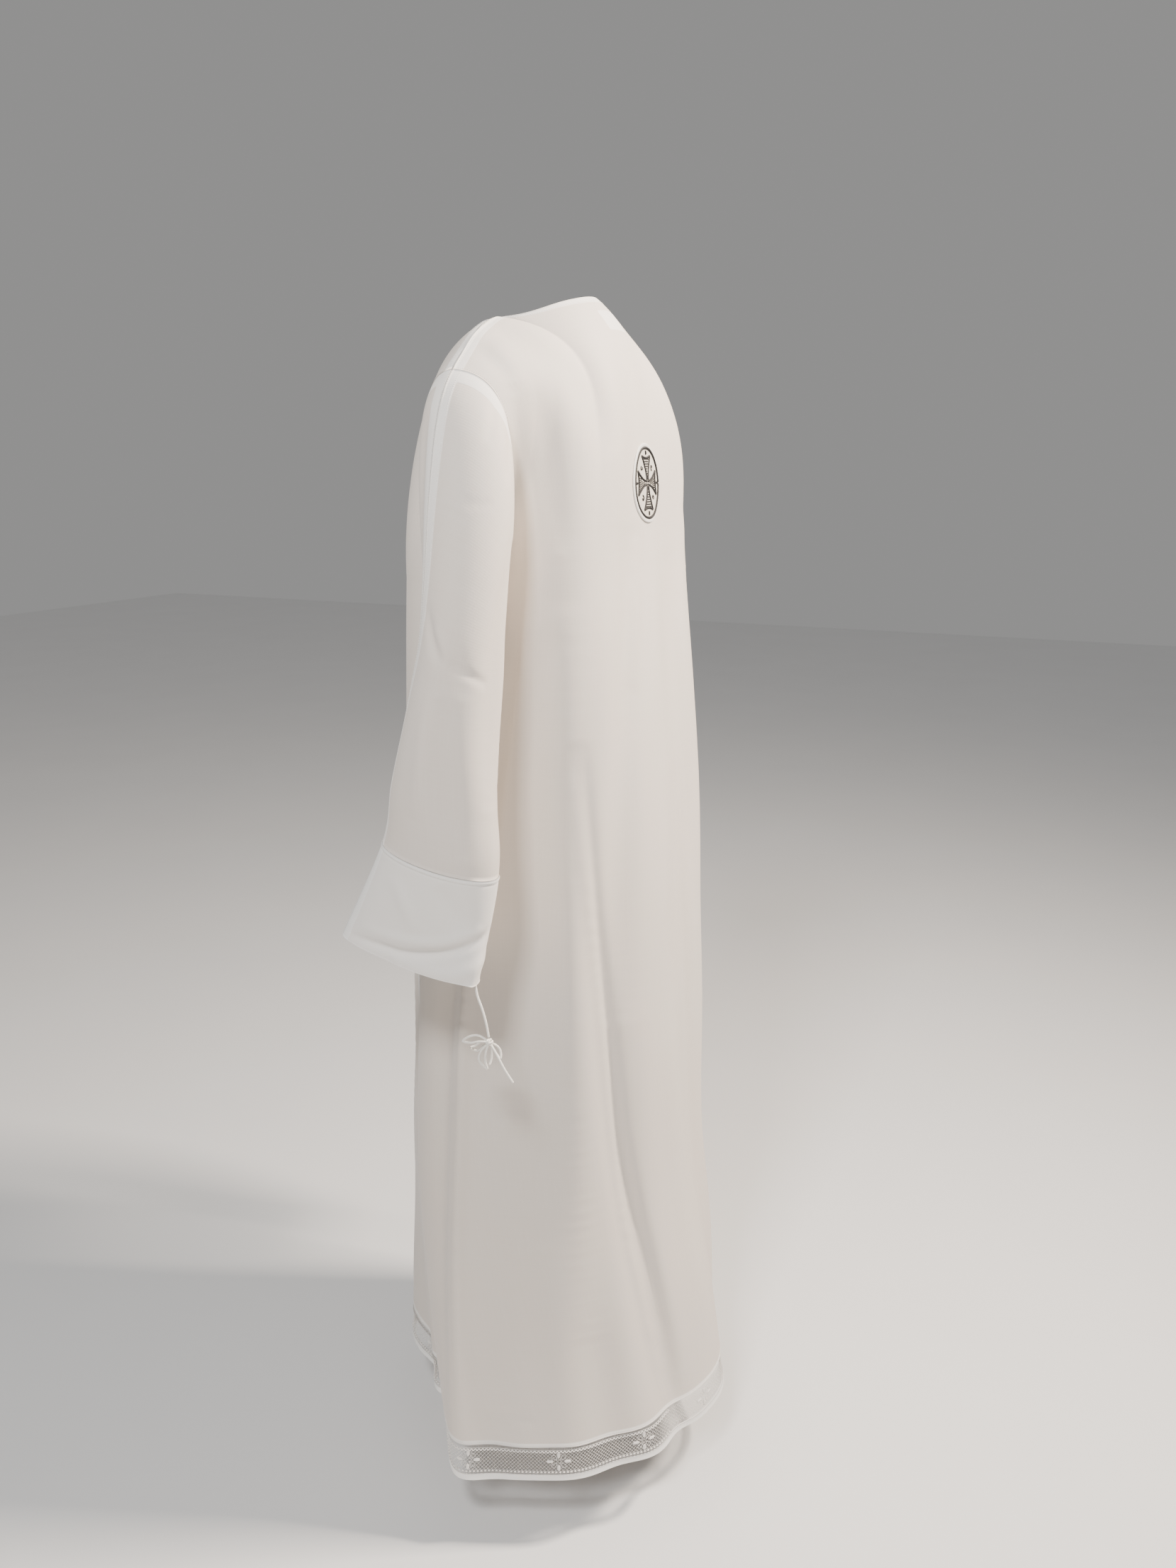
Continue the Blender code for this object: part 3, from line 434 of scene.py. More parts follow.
def spread_of(points, middle):
    """The cloth laid flat, in metres: lengths along each row from the middle column, and down it."""
    steps = np.linalg.norm(np.diff(points, axis=1), axis=-1)
    along = np.concatenate([np.zeros((len(points), 1)), np.cumsum(steps, axis=1)], axis=1)
    along -= along[:, middle : middle + 1]
    down = lengths_along(points[:, middle])
    return np.stack(np.broadcast_arrays(along, down[:, None]), -1)


def from_edges(points):
    """How far each point of a grid lies from its first column, last column, first row and last row."""
    found = []
    for axis in (1, 0):
        steps = np.linalg.norm(np.diff(points, axis=axis), axis=-1)
        pad = [(0, 0), (1, 0)] if axis == 1 else [(1, 0), (0, 0)]
        along = np.pad(np.cumsum(steps, axis=axis), pad)
        total = along[:, -1:] if axis == 1 else along[-1:]
        found += [along, total - along]
    return found


def seam_facts(turnings, seams):
    """How far each point is past the nearest turning, below 0 on it, and how far it is from a seam.

    A turning is (distance from its seam, its width), and a seam is the distance from it alone.
    """
    past = np.min([distance - width for distance, width in turnings], axis=0)
    return {"margin": past, "seam": np.min(seams, axis=0)}


def all_double(points):
    """The same for a piece that is folded double all over and has no seam in it."""
    return {"margin": np.full(points.shape[:2], -1.0), "seam": np.ones(points.shape[:2])}


def where(condition, distance):
    """A distance where the condition holds, and a metre elsewhere."""
    return np.where(condition, distance, 1.0)


def on_grid(grid, down_at, across_at):
    """Values of a grid between its points."""
    i = np.clip(down_at.astype(int), 0, grid.shape[0] - 2)
    j = np.clip(across_at.astype(int), 0, grid.shape[1] - 2)
    down, over = (down_at - i)[..., None], (across_at - j)[..., None]
    upper = grid[i, j] * (1 - over) + grid[i, j + 1] * over
    lower = grid[i + 1, j] * (1 - over) + grid[i + 1, j + 1] * over
    return upper * (1 - down) + lower * down


def creased(points, normals, columns, rows, creases):
    """Moves a grid in or out along listed creases.

    A crease is a line through (column, row) places, with a width, a depth and a lean. Across it the
    push is a bell curve, steeper on the side it leans to, and it fades to nothing at both ends.
    """
    push = np.zeros(points.shape[:2])
    for width, depth, lean, places in creases:
        places = smooth_path([(c, r, 0) for c, r in places], 24)[:, :2]
        across_at = np.interp(places[:, 0], columns, np.arange(len(columns)))
        down_at = np.interp(places[:, 1], rows, np.arange(len(rows)))
        line = on_grid(points, down_at, across_at)
        along = lengths_along(line)
        low, high = line.min(0) - 4 * width, line.max(0) + 4 * width
        near = np.all((points > low) & (points < high), axis=-1)
        here = points[near]
        gaps = here[:, None] - line[None]
        closest = np.argmin((gaps**2).sum(-1), axis=1)
        way = np.gradient(line, axis=0)[closest]
        gap = gaps[np.arange(len(here)), closest]
        beside = np.cross(normals[near], way)
        beside /= np.maximum(np.linalg.norm(beside, axis=1, keepdims=True), 1e-12)
        side = (gap * beside).sum(1)
        past = np.abs((gap * way).sum(1)) / np.maximum(np.linalg.norm(way, axis=1), 1e-12)
        share = along[closest] / max(along[-1], 1e-9)
        wide = width * np.where(side * lean > 0, 0.45, 1.0) if lean else width
        fade = np.sin(np.pi * np.clip(share, 0.0, 1.0)) ** 0.7 * np.exp(-((past / width) ** 2))
        push[near] += depth * np.exp(-((side / wide) ** 2)) * fade
    return points + normals * push[..., None]


def rippled(points, normals, spread, size, seed):
    """Moves a grid by slow waves of uneven length and slant, so that no stretch of cloth is dead flat."""
    draw = np.random.default_rng(seed)
    push = np.zeros(points.shape[:2])
    for _ in range(9):
        across_waves, down_waves = draw.uniform(2, 15), draw.uniform(0.5, 5)
        start = draw.uniform(0, 2 * np.pi)
        push += np.sin(2 * np.pi * (spread[..., 0] * across_waves + spread[..., 1] * down_waves) + start)
    return points + normals * (push * size / 9)[..., None]


def shell(points, normals, spread, thickness, facts, closed=False):
    """A thin closed wall: the grid, the same moved inwards, and a flat rim round its edges."""
    rows, columns = points.shape[:2]
    index = np.arange(rows * columns).reshape(rows, columns)
    if closed:
        index = np.concatenate([index, index[:, :1]], axis=1)
    outer = np.stack([index[:-1, :-1], index[1:, :-1], index[1:, 1:], index[:-1, 1:]], -1).reshape(-1, 4)
    count = rows * columns
    edges = [index[0], index[-1][::-1]]
    if not closed:
        edges += [index[::-1, 0], index[:, -1]]
    rim = [np.stack([e[1:], e[:-1], e[:-1] + count, e[1:] + count], -1) for e in edges]
    faces = np.concatenate([outer, outer[:, ::-1] + count, *rim])
    flat = points.reshape(-1, 3)
    inner = flat - normals.reshape(-1, 3) * thickness
    both = {name: np.tile(values.ravel(), 2) for name, values in facts.items()}
    return np.concatenate([flat, inner]), faces.tolist(), np.tile(spread.reshape(-1, 2), (2, 1)), both


def stitch_run(line, normals, length, pitch, radius, sink=0.3):
    """Points, faces and map of a row of stitches: small four-sided spindles laid along a line."""
    along = lengths_along(line)
    places = np.arange(pitch / 2, along[-1] - length, pitch)
    start, end = respaced(line, places), respaced(line, places + length)
    up = np.stack([np.interp(places, along, normals[:, axis]) for axis in range(3)], axis=1)
    up /= np.linalg.norm(up, axis=1, keepdims=True)
    way = end - start
    side = np.cross(up, way)
    side /= np.maximum(np.linalg.norm(side, axis=1, keepdims=True), 1e-12)
    points = [start - up * radius * 0.6]
    for share, size in [(0.15, 0.75), (0.5, 1.0), (0.85, 0.75)]:
        for across_by, up_by in [(1, 0), (0, 1), (-1, 0), (0, -1)]:
            offset = side * across_by * size + up * (up_by * size + 1 - sink - 0.5)
            points.append(start + way * share + offset * radius)
    points.append(end - up * radius * 0.6)
    points = np.stack(points, axis=1)
    faces = [[0, 1 + (k + 1) % 4, 1 + k] for k in range(4)]
    for ring in (1, 5):
        faces += [[ring + k, ring + (k + 1) % 4, ring + 4 + (k + 1) % 4, ring + 4 + k] for k in range(4)]
    faces += [[13, 9 + k, 9 + (k + 1) % 4] for k in range(4)]
    every = [[14 * n + corner for corner in face] for n in range(len(places)) for face in faces]
    spread = np.zeros((len(places) * 14, 2))
    spread[:, 0] = np.repeat(places, 14)
    return points.reshape(-1, 3), every, spread


def lawn_finish(name, whiteness):
    """Thin plain-woven cloth: threads both ways, slubs along them, paler where it lies double, and a painted
    shade line along each seam.
    """
    made, tree, shader, cloth_map = new_finish(name, 0.78, 0.22)
    threads = []
    for direction in ("X", "Y"):
        settings = {"wave_type": "BANDS", "bands_direction": direction}
        wave = node(
            tree, "ShaderNodeTexWave", settings, Vector=cloth_map, Scale=330.0, Distortion=0.8, Detail=1.0
        )
        threads.append(wave.outputs[1])
    weave = maths(tree, "MULTIPLY", threads[0], threads[1])
    slubs = []
    for stretch in [(1500.0, 34.0, 1.0), (34.0, 1500.0, 1.0)]:
        far = node(tree, "ShaderNodeMapping", Vector=cloth_map, Scale=stretch).outputs[0]
        slubs.append(node(tree, "ShaderNodeTexNoise", Vector=far, Scale=0.35, Detail=2.0).outputs[0])
    slub = maths(tree, "MULTIPLY", maths(tree, "ADD", slubs[0], slubs[1]), 0.5)
    place = node(tree, "ShaderNodeTexCoord").outputs["Object"]
    cloud = node(tree, "ShaderNodeTexNoise", Vector=place, Scale=5.0, Detail=4.0, Roughness=0.6).outputs[0]
    warm, cool = (0.715, 0.625, 0.545, 1), (0.690, 0.640, 0.590, 1)
    base = mixed(tree, cloud, warm, cool)
    base = mixed(tree, maths(tree, "MULTIPLY", slub, 0.28), base, (0.90, 0.87, 0.83, 1))
    margin = node(tree, "ShaderNodeAttribute", {"attribute_name": "margin"}).outputs["Fac"]
    doubled = maths(tree, "SUBTRACT", 0.5, maths(tree, "DIVIDE", margin, 0.0012), clamp=True)
    pale = (0.930, 0.918, 0.895, 1)
    share = maths(tree, "ADD", maths(tree, "MULTIPLY", doubled, 0.70), whiteness, clamp=True)
    base = mixed(tree, share, base, pale)
    # Along each seam the colour is darkened to grey: painted shade in the seam's groove. The same mask also
    # sinks the bump there.
    seam = node(tree, "ShaderNodeAttribute", {"attribute_name": "seam"}).outputs["Fac"]
    seam_groove_shade = maths(tree, "SUBTRACT", 1.0, maths(tree, "DIVIDE", seam, 0.0011), clamp=True)
    base = mixed(tree, maths(tree, "MULTIPLY", seam_groove_shade, 0.55), base, (0.36, 0.33, 0.30, 1))
    tree.links.new(base, shader.inputs["Base Color"])
    height = maths(tree, "ADD", maths(tree, "MULTIPLY", weave, 0.4), maths(tree, "MULTIPLY", slub, 0.8))
    relief = maths(tree, "MULTIPLY", maths(tree, "SUBTRACT", doubled, seam_groove_shade), 1.6)
    height = maths(tree, "ADD", height, relief)
    bump = node(tree, "ShaderNodeBump", Strength=0.28, Distance=0.0004, Height=height)
    tree.links.new(bump.outputs[0], shader.inputs["Normal"])
    rough = node(tree, "ShaderNodeMapRange", Value=slub)
    rough.inputs["To Min"].default_value, rough.inputs["To Max"].default_value = 0.70, 0.86
    tree.links.new(rough.outputs[0], shader.inputs["Roughness"])
    return made


lawn = lawn_finish("lawn", 0.0)
sewing_thread = cord_finish()
sewing_thread.name = "sewing_thread"

# Creases of the back panel: width and depth in metres (out is positive), lean, and places.
BACK_CREASES = [
    (0.022, -0.0100, 1, [(13.1, 14.2), (14.7, 16.1), (17.1, 18.7), (18.4, 22.0), (18.7, 24.1), (18.4, 26.2)]),
    (0.009, 0.0045, 0, [(12.4, 14.6), (14.0, 16.1), (16.4, 18.7), (17.7, 22.0), (18.0, 24.1), (17.7, 26.2)]),
    (0.024, -0.0050, 0, [(22.9, 15.0), (22.6, 18.4), (22.9, 19.8), (23.5, 21.6), (22.7, 24.4)]),
    (0.030, -0.0060, 0, [(18.0, 9.8), (18.2, 13.9), (18.4, 16.0), (18.7, 18.7)]),
    (0.009, 0.0080, -1, [(4.9, 13.0), (5.1, 18.0), (5.3, 20.5), (5.3, 23.6), (5.4, 26.4)]),
    (0.014, -0.0100, 0, [(3.9, 13.4), (4.0, 18.0), (4.1, 22.0), (4.2, 26.4)]),
    (0.014, -0.0060, 0, [(2.2, 3.2), (1.4, 6.0), (2.2, 8.6), (5.0, 11.6)]),
    (0.018, 0.0060, -1, [(8.0, 11.0), (7.3, 13.7), (6.9, 15.0), (6.7, 16.4)]),
    (0.026, -0.0085, 0, [(8.6, 12.6), (8.9, 15.8), (9.3, 18.0), (9.6, 22.4)]),
    (0.026, 0.0080, 0, [(11.3, 12.2), (12.0, 14.7), (12.7, 16.9), (13.3, 19.2), (13.1, 24.2)]),
    (0.012, -0.0020, 0, [(5.3, 0.3), (2.9, 1.2), (1.6, 3.8)]),
    (0.016, -0.0030, 0, [(4.6, 4.2), (7.6, 7.3), (10.6, 10.8)]),
    (0.026, -0.0035, 0, [(8.2, 0.4), (8.6, 2.7), (12.4, 5.3), (15.4, 7.4)]),
    (0.004, -0.0016, 0, [(7.3, 25.5), (8.5, 25.4), (9.8, 25.55)]),
    (0.008, -0.0018, 0, [(7.5, 22.3), (8.4, 22.5)]),
    (0.007, -0.0015, 0, [(7.7, 23.2), (8.5, 23.35)]),
    (0.012, 0.0030, 0, [(19.4, 10.4), (19.2, 12.0), (19.0, 13.6)]),
    (0.018, -0.0045, 0, [(26.3, 11.0), (26.3, 13.6), (26.4, 15.8), (26.9, 18.0)]),
    (0.014, -0.0055, 0, [(38.0, 3.4), (38.6, 6.2), (37.8, 8.4), (35.2, 11.2)]),
    (0.016, 0.0050, 1, [(32.2, 11.4), (33.0, 14.0), (33.4, 17.2)]),
    (0.026, -0.0065, 0, [(30.6, 12.0), (30.2, 15.4), (29.4, 19.6), (29.0, 23.4)]),
    (0.012, -0.0030, 0, [(34.6, 17.0), (35.6, 20.4), (35.9, 24.6)]),
    (0.015, -0.0030, 0, [(35.0, 3.8), (32.6, 7.0), (29.4, 10.2)]),
    (0.010, -0.0020, 0, [(36.8, 0.6), (37.9, 1.8), (38.6, 4.2)]),
    (0.006, -0.0015, 0, [(31.0, 25.3), (32.4, 25.5), (33.3, 25.3)]),
]
back_columns = np.linspace(0, 40, 181)
back_rows = np.concatenate([np.linspace(0, 12, 73), np.linspace(12, 26, 181)[1:]])
flat_back = back_panel.at(back_columns, back_rows)
back_spread = spread_of(flat_back, 90)
back_normals = normals_of(flat_back)
back_points = rippled(flat_back, back_normals, back_spread, 0.0022, 3)
back_points = creased(back_points, back_normals, back_columns, back_rows, BACK_CREASES)
back_normals = normals_of(back_points)
from_left, from_right, from_top, from_foot = from_edges(back_points)
below_arm = back_rows[:, None] > 12
on_neckline = (back_columns > 14) & (back_columns < 32)
beside_label = np.abs(back_columns - 23) / 1.5 * 0.020 - 0.020
above_label = np.abs(back_rows - 1.45) / 0.55 * 0.0165 - 0.0165
turnings = [
    (where(below_arm, from_left), 0.012),
    (where(below_arm, from_right), 0.012),
    (from_foot, 0.006),
    (where(on_neckline, from_top), 0.009),
    (where(~on_neckline, from_top), 0.012),
    (np.maximum(beside_label[None], above_label[:, None]), 0.0),
]
facts = seam_facts(turnings, [from_left, from_right, where(~on_neckline, from_top), from_foot])
*solid, facts = shell(back_points, back_normals, back_spread, SHEER, facts)
back = sewn_piece("back_panel", *solid, lawn, "cloth", facts)
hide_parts("back_yoke", "back_skirt_left", "back_skirt_middle", "back_skirt_right")


# Front: the panel that closes the robe between the two edges of the back. It is slit for a hand's
# length down from the neckline, and the slit's edges are turned in and stitched.
SLIT_ROWS = 6
SLIT_HALF_WIDTH = 0.0035
front_panel = Panel(
    FRONT_FOLDS,
    (7, 21),
    THROAT,
    [(-0.04, -0.22, -0.02), (-0.03, -0.20, -0.06), (0.0, -0.10, -0.16)],
    (0.0, 0.13, -0.27),
    False,
)
FRONT_CREASES = [
    (0.012, -0.0045, 0, [(26.2, 2.6), (26.8, 5.6), (26.0, 8.6), (23.4, 11.4)]),
    (0.012, -0.0040, 0, [(1.9, 2.8), (1.2, 5.8), (2.1, 8.4), (4.8, 11.2)]),
    (0.020, -0.0050, 0, [(17.4, 8.0), (18.0, 12.0), (18.6, 16.0), (19.6, 20.4)]),
    (0.018, 0.0040, 0, [(20.6, 11.0), (20.8, 14.0), (21.0, 18.0), (21.2, 23.0)]),
    (0.020, -0.0045, 0, [(10.4, 7.4), (9.8, 11.0), (9.4, 15.2), (9.6, 19.4)]),
    (0.014, 0.0035, 0, [(7.4, 12.0), (7.0, 15.6), (7.2, 20.0), (7.4, 24.6)]),
    (0.009, -0.0022, 0, [(15.6, 5.8), (16.9, 7.4), (19.3, 8.2)]),
    (0.009, -0.0022, 0, [(12.6, 5.9), (11.0, 7.7), (8.8, 8.6)]),
    (0.010, 0.0025, 0, [(25.6, 16.0), (25.8, 19.6), (25.4, 23.4), (25.6, 26.0)]),
    (0.006, -0.0016, 0, [(12.4, 25.4), (13.6, 25.5), (14.8, 25.4)]),
]
front_columns = np.linspace(0, 28, 113)
front_rows = np.concatenate([np.linspace(0, 12, 73), np.linspace(12, 26, 141)[1:]])
flat_front = front_panel.at(front_columns, front_rows)
front_spread = spread_of(flat_front, 56)
front_normals = normals_of(flat_front)
front_points = rippled(flat_front, front_normals, front_spread, 0.0018, 5)
front_points = creased(front_points, front_normals, front_columns, front_rows, FRONT_CREASES)
front_normals = normals_of(front_points)
from_left, from_right, from_top, from_foot = from_edges(front_points)
on_neckline = (front_columns > 7) & (front_columns < 21)
slit = front_rows < SLIT_ROWS
apart = SLIT_HALF_WIDTH * np.clip(1 - front_rows / SLIT_ROWS, 0, 1)
from_slit = np.abs(front_spread[..., 0]) + (~slit[:, None]) * 1.0
below_arm = front_rows[:, None] > 12
turnings = [
    (where(below_arm, from_left), 0.012),
    (where(below_arm, from_right), 0.012),
    (from_foot, 0.006),
    (from_slit, 0.006),
    (where(on_neckline, from_top), 0.009),
    (where(~on_neckline, from_top), 0.012),
]
front_facts = seam_facts(turnings, [from_left, from_right, where(~on_neckline, from_top), from_foot])
front_facts = np.stack([front_facts["margin"], front_facts["seam"]], axis=-1)
halves = []
for first, last, way in [(0, 57, -1), (56, 113, 1)]:
    half = front_points[:, first:last].copy()
    nearness = np.clip(1 - np.abs(np.arange(first, last) - 56) / 8, 0, 1)
    half[..., 0] += way * apart[:, None] * nearness
    here = (slice(None), slice(first, last))
    halves.append((half, front_normals[here], front_spread[here], front_facts[here]))
closed_rows = int(np.argmax(~slit))
(right_half, *right_rest), (left_half, *left_rest) = halves
seam = (right_half[closed_rows:, -1] + left_half[closed_rows:, 0]) / 2
right_half[closed_rows:, -1] = left_half[closed_rows:, 0] = seam
rows_in_front = len(front_rows)
right_index = np.arange(rows_in_front * 57).reshape(rows_in_front, 57)
left_index = right_index.size + np.arange(rows_in_front * 57).reshape(rows_in_front, 57)
left_index[closed_rows:, 0] = right_index[closed_rows:, -1]
outer = [
    np.stack([g[:-1, :-1], g[1:, :-1], g[1:, 1:], g[:-1, 1:]], -1).reshape(-1, 4)
    for g in (right_index, left_index)
]
outer = np.concatenate(outer)
count = 2 * right_index.size
edges = [
    right_index[0],
    left_index[0],
    right_index[-1][::-1],
    left_index[-1][::-1],
    right_index[::-1, 0],
    left_index[:, -1],
    right_index[: closed_rows + 1, -1],
    left_index[: closed_rows + 1, 0][::-1],
]
rim = [np.stack([e[1:], e[:-1], e[:-1] + count, e[1:] + count], -1) for e in edges]
faces = np.concatenate([outer, outer[:, ::-1] + count, *rim])
flat = np.concatenate([right_half.reshape(-1, 3), left_half.reshape(-1, 3)])
flat_normals = np.concatenate([right_rest[0].reshape(-1, 3), left_rest[0].reshape(-1, 3)])
flat_spread = np.concatenate([right_rest[1].reshape(-1, 2), left_rest[1].reshape(-1, 2)])
flat_facts = np.concatenate([right_rest[2].reshape(-1, 2), left_rest[2].reshape(-1, 2)])
facts = {"margin": np.tile(flat_facts[:, 0], 2), "seam": np.tile(flat_facts[:, 1], 2)}
points = np.concatenate([flat, flat - flat_normals * SHEER])
front = sewn_piece("front_panel", points, faces.tolist(), np.tile(flat_spread, (2, 1)), lawn, "cloth", facts)
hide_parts("front")


# Sleeves: each is a wide tube of the same cloth in two halves, set into the armhole. The seam along
# the top of the arm is topstitched, and its broad turnings show as pale bands on both sides of it.
SLEEVE_SECTIONS = [
    # front_y, front_z, rear_y, rear_z, middle_x, half_thickness, overarm, underarm
    (0.003, -0.370, 0.093, -0.390, 0.268, 0.041, 27, 258),
    (-0.012, -0.437, 0.090, -0.459, 0.274, 0.042, 18, 252),
    (-0.029, -0.504, 0.091, -0.526, 0.278, 0.041, 17, 248),
    (-0.043, -0.571, 0.093, -0.599, 0.280, 0.038, 16, 244),
    (-0.103, -0.690, 0.072, -0.719, 0.285, 0.024, 14, 240),
]
SLEEVE_COLUMNS = 24
CAP_ROWS = 9
SLEEVE_ROWS = 15
CUFF_ROWS = 4
SLEEVE_LEAVES = [(0.8, 0.0, -0.6), (0.7, 0.6, -0.5), (0.7, 0.5, -0.5), (0.5, 0.1, -0.8)]
SLEEVE_REACH = 0.8
CORNER_TURN, CORNER_ANGLE, CORNER_WIDTH = 0.012, 170, 70


def seam_angle(section, turns):
    """The angle round a section for a turn from the overarm seam (0) past the underarm seam (180)."""
    overarm, underarm = section[-2:]
    return np.interp(turns % 360, [0, 180, 360], [overarm, underarm, overarm + 360])


def section_at(section, turns):
    """Points of a sleeve section: an oval between its front and rear edges."""
    front_y, front_z, rear_y, rear_z, middle_x, half_thickness = section[:6]
    front_edge, rear_edge = np.array([0, front_y, front_z]), np.array([0, rear_y, rear_z])
    angle = np.radians(seam_angle(section, turns))[:, None]
    middle = (front_edge + rear_edge) / 2 + np.array([middle_x, 0, 0])
    return middle + np.cos(angle) * (front_edge - rear_edge) / 2 + np.sin(angle) * [half_thickness, 0, 0]


def sleeve_at(columns, rows):
    """Points of the left sleeve and cuff: the cap from the armhole, then cubics through the sections."""
    turns = 360.0 * columns / SLEEVE_COLUMNS
    knots = np.array([section_at(section, turns) for section in SLEEVE_SECTIONS])
    slopes = np.gradient(knots, axis=0)
    at_back = np.clip(turns / 180, 0, 1)
    at_front = np.clip((360 - turns) / 180, 0, 1)
    behind = np.array([back_panel.yoke(np.array([0.0]), np.array([s]))[0, 0] for s in at_back])
    before = np.array([front_panel.yoke(np.array([28.0]), np.array([s]))[0, 0] for s in at_front])
    start = np.where((turns <= 180)[:, None], behind, before)
    top, rear, foot, fore = (np.array(way) for way in SLEEVE_LEAVES)
    turn = np.radians(turns)[:, None]
    leaves = (top + rear + foot + fore) / 4 + np.cos(turn) * (top - foot) / 2
    leaves = leaves + np.sin(turn) * (rear - fore) / 2 + np.cos(2 * turn) * (top + foot - rear - fore) / 4
    reach = SLEEVE_REACH * np.linalg.norm(knots[0] - start, axis=1, keepdims=True)
    leaves = leaves * reach / np.linalg.norm(leaves, axis=1, keepdims=True)
    arrives = slopes[0] * reach / np.linalg.norm(slopes[0], axis=1, keepdims=True)
    lines = []
    for row in rows:
        if row <= CAP_ROWS:
            lines.append(hermite(start, leaves, knots[0], arrives, row / CAP_ROWS))
            continue
        on_cuff = row > SLEEVE_ROWS
        place = 3 + (row - SLEEVE_ROWS) / CUFF_ROWS if on_cuff else (row - CAP_ROWS) / 2
        i = min(int(place), 3)
        line = hermite(knots[i], slopes[i], knots[i + 1], slopes[i + 1], place - i)
        if on_cuff:
            away = np.abs(seam_angle(SLEEVE_SECTIONS[-1], turns) - CORNER_ANGLE) / CORNER_WIDTH
            line[:, 0] += CORNER_TURN * ((row - SLEEVE_ROWS) / CUFF_ROWS) ** 3 * np.maximum(0, 1 - away) ** 2
        lines.append(line)
    return np.array(lines)


SLEEVE_CREASES = [
    (0.0055, -0.0028, 0, [(1.0, 7.1), (1.9, 7.8), (3.3, 8.7)]),
    (0.005, 0.0020, 0, [(2.2, 7.5), (3.1, 8.0), (3.9, 8.5)]),
    (0.0045, -0.0020, 0, [(3.7, 8.45), (5.2, 8.7), (7.0, 9.1)]),
    (0.012, -0.0018, 0, [(2.2, 7.8), (4.2, 8.4), (5.0, 9.6)]),
    (0.003, -0.0008, 0, [(2.1, 4.1), (3.2, 4.0), (4.4, 3.6)]),
    (0.015, -0.0050, 0, [(4.0, 9.6), (4.7, 11.5), (5.2, 13.0), (5.6, 14.6)]),
    (0.010, 0.0025, 0, [(3.0, 9.6), (3.3, 11.8), (3.2, 13.6)]),
    (0.016, -0.0040, 0, [(7.6, 3.0), (7.2, 6.4), (7.6, 9.8), (8.0, 13.0)]),
    (0.010, 0.0024, 0, [(10.0, 6.0), (9.8, 9.0), (9.9, 12.4)]),
    (0.009, -0.0030, 0, [(22.9, 1.6), (22.6, 4.2), (22.2, 7.2)]),
    (0.008, -0.0025, 0, [(21.6, 8.0), (20.6, 8.7), (19.2, 8.9)]),
    (0.008, -0.0022, 0, [(22.8, 7.9), (21.9, 8.9), (21.3, 10.2)]),
    (0.014, -0.0035, 0, [(20.2, 10.0), (20.6, 12.0), (21.0, 14.2)]),
    (0.010, -0.0022, 0, [(16.8, 2.4), (17.2, 4.6), (18.2, 6.6)]),
    (0.006, -0.0014, 0, [(4.6, 0.5), (5.0, 1.4), (5.2, 2.6)]),
    (0.006, -0.0013, 0, [(3.0, 0.4), (3.2, 1.2), (3.1, 2.2)]),
]
sleeve_columns = np.linspace(0, 24, 169)
sleeve_rows = np.concatenate([np.linspace(0, 9, 67), np.linspace(9, 15, 57)[1:]])
flat_sleeve = sleeve_at(sleeve_columns, sleeve_rows)
sleeve_spread = spread_of(flat_sleeve, 84)
sleeve_normals = normals_of(flat_sleeve)
sleeve_normals[:, [0, -1]] = (sleeve_normals[:, :1] + sleeve_normals[:, -1:]) / 2
sleeve_points = rippled(flat_sleeve, sleeve_normals, sleeve_spread, 0.0014, 8)
sleeve_points[:, -1] = sleeve_points[:, 0]
sleeve_points = creased(sleeve_points, sleeve_normals, sleeve_columns, sleeve_rows, SLEEVE_CREASES)
sleeve_points[:, -1] = sleeve_points[:, 0]
from_overarm, to_overarm, from_armhole, _ = from_edges(sleeve_points)
sleeve_normals = normals_of(sleeve_points)
sleeve_normals[:, [0, -1]] = sleeve_normals[:, :1] + sleeve_normals[:, -1:]
sleeve_normals /= np.linalg.norm(sleeve_normals, axis=-1, keepdims=True)
from_underarm = np.abs(sleeve_spread[..., 0])
rear_seams = [from_overarm, from_armhole, from_underarm]
fore_seams = [to_overarm, from_armhole, from_underarm]
rear_facts = seam_facts([(from_overarm, 0.012), (from_armhole, 0.019)], rear_seams)
fore_facts = seam_facts([(to_overarm, 0.014), (from_armhole, 0.019)], fore_seams)
sleeves = {"left": [], "right": []}
for part, first, last, whole in [("back", 0, 85, rear_facts), ("front", 84, 169, fore_facts)]:
    half = (slice(None), slice(first, last))
    facts = {name: values[half] for name, values in whole.items()}
    made = shell(sleeve_points[half], sleeve_normals[half], sleeve_spread[half], SHEER, facts)
    for side, flip in [("left", LEFT), ("right", RIGHT)]:
        points, faces, spread, held = made
        turned = faces if side == "left" else [face[::-1] for face in faces]
        sleeve = sewn_piece(f"sleeve_{side}_{part}_half", points * flip, turned, spread, lawn, "cloth", held)
        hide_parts(f"sleeve_{side}_{part}")
        sleeves[side].append(sleeve)


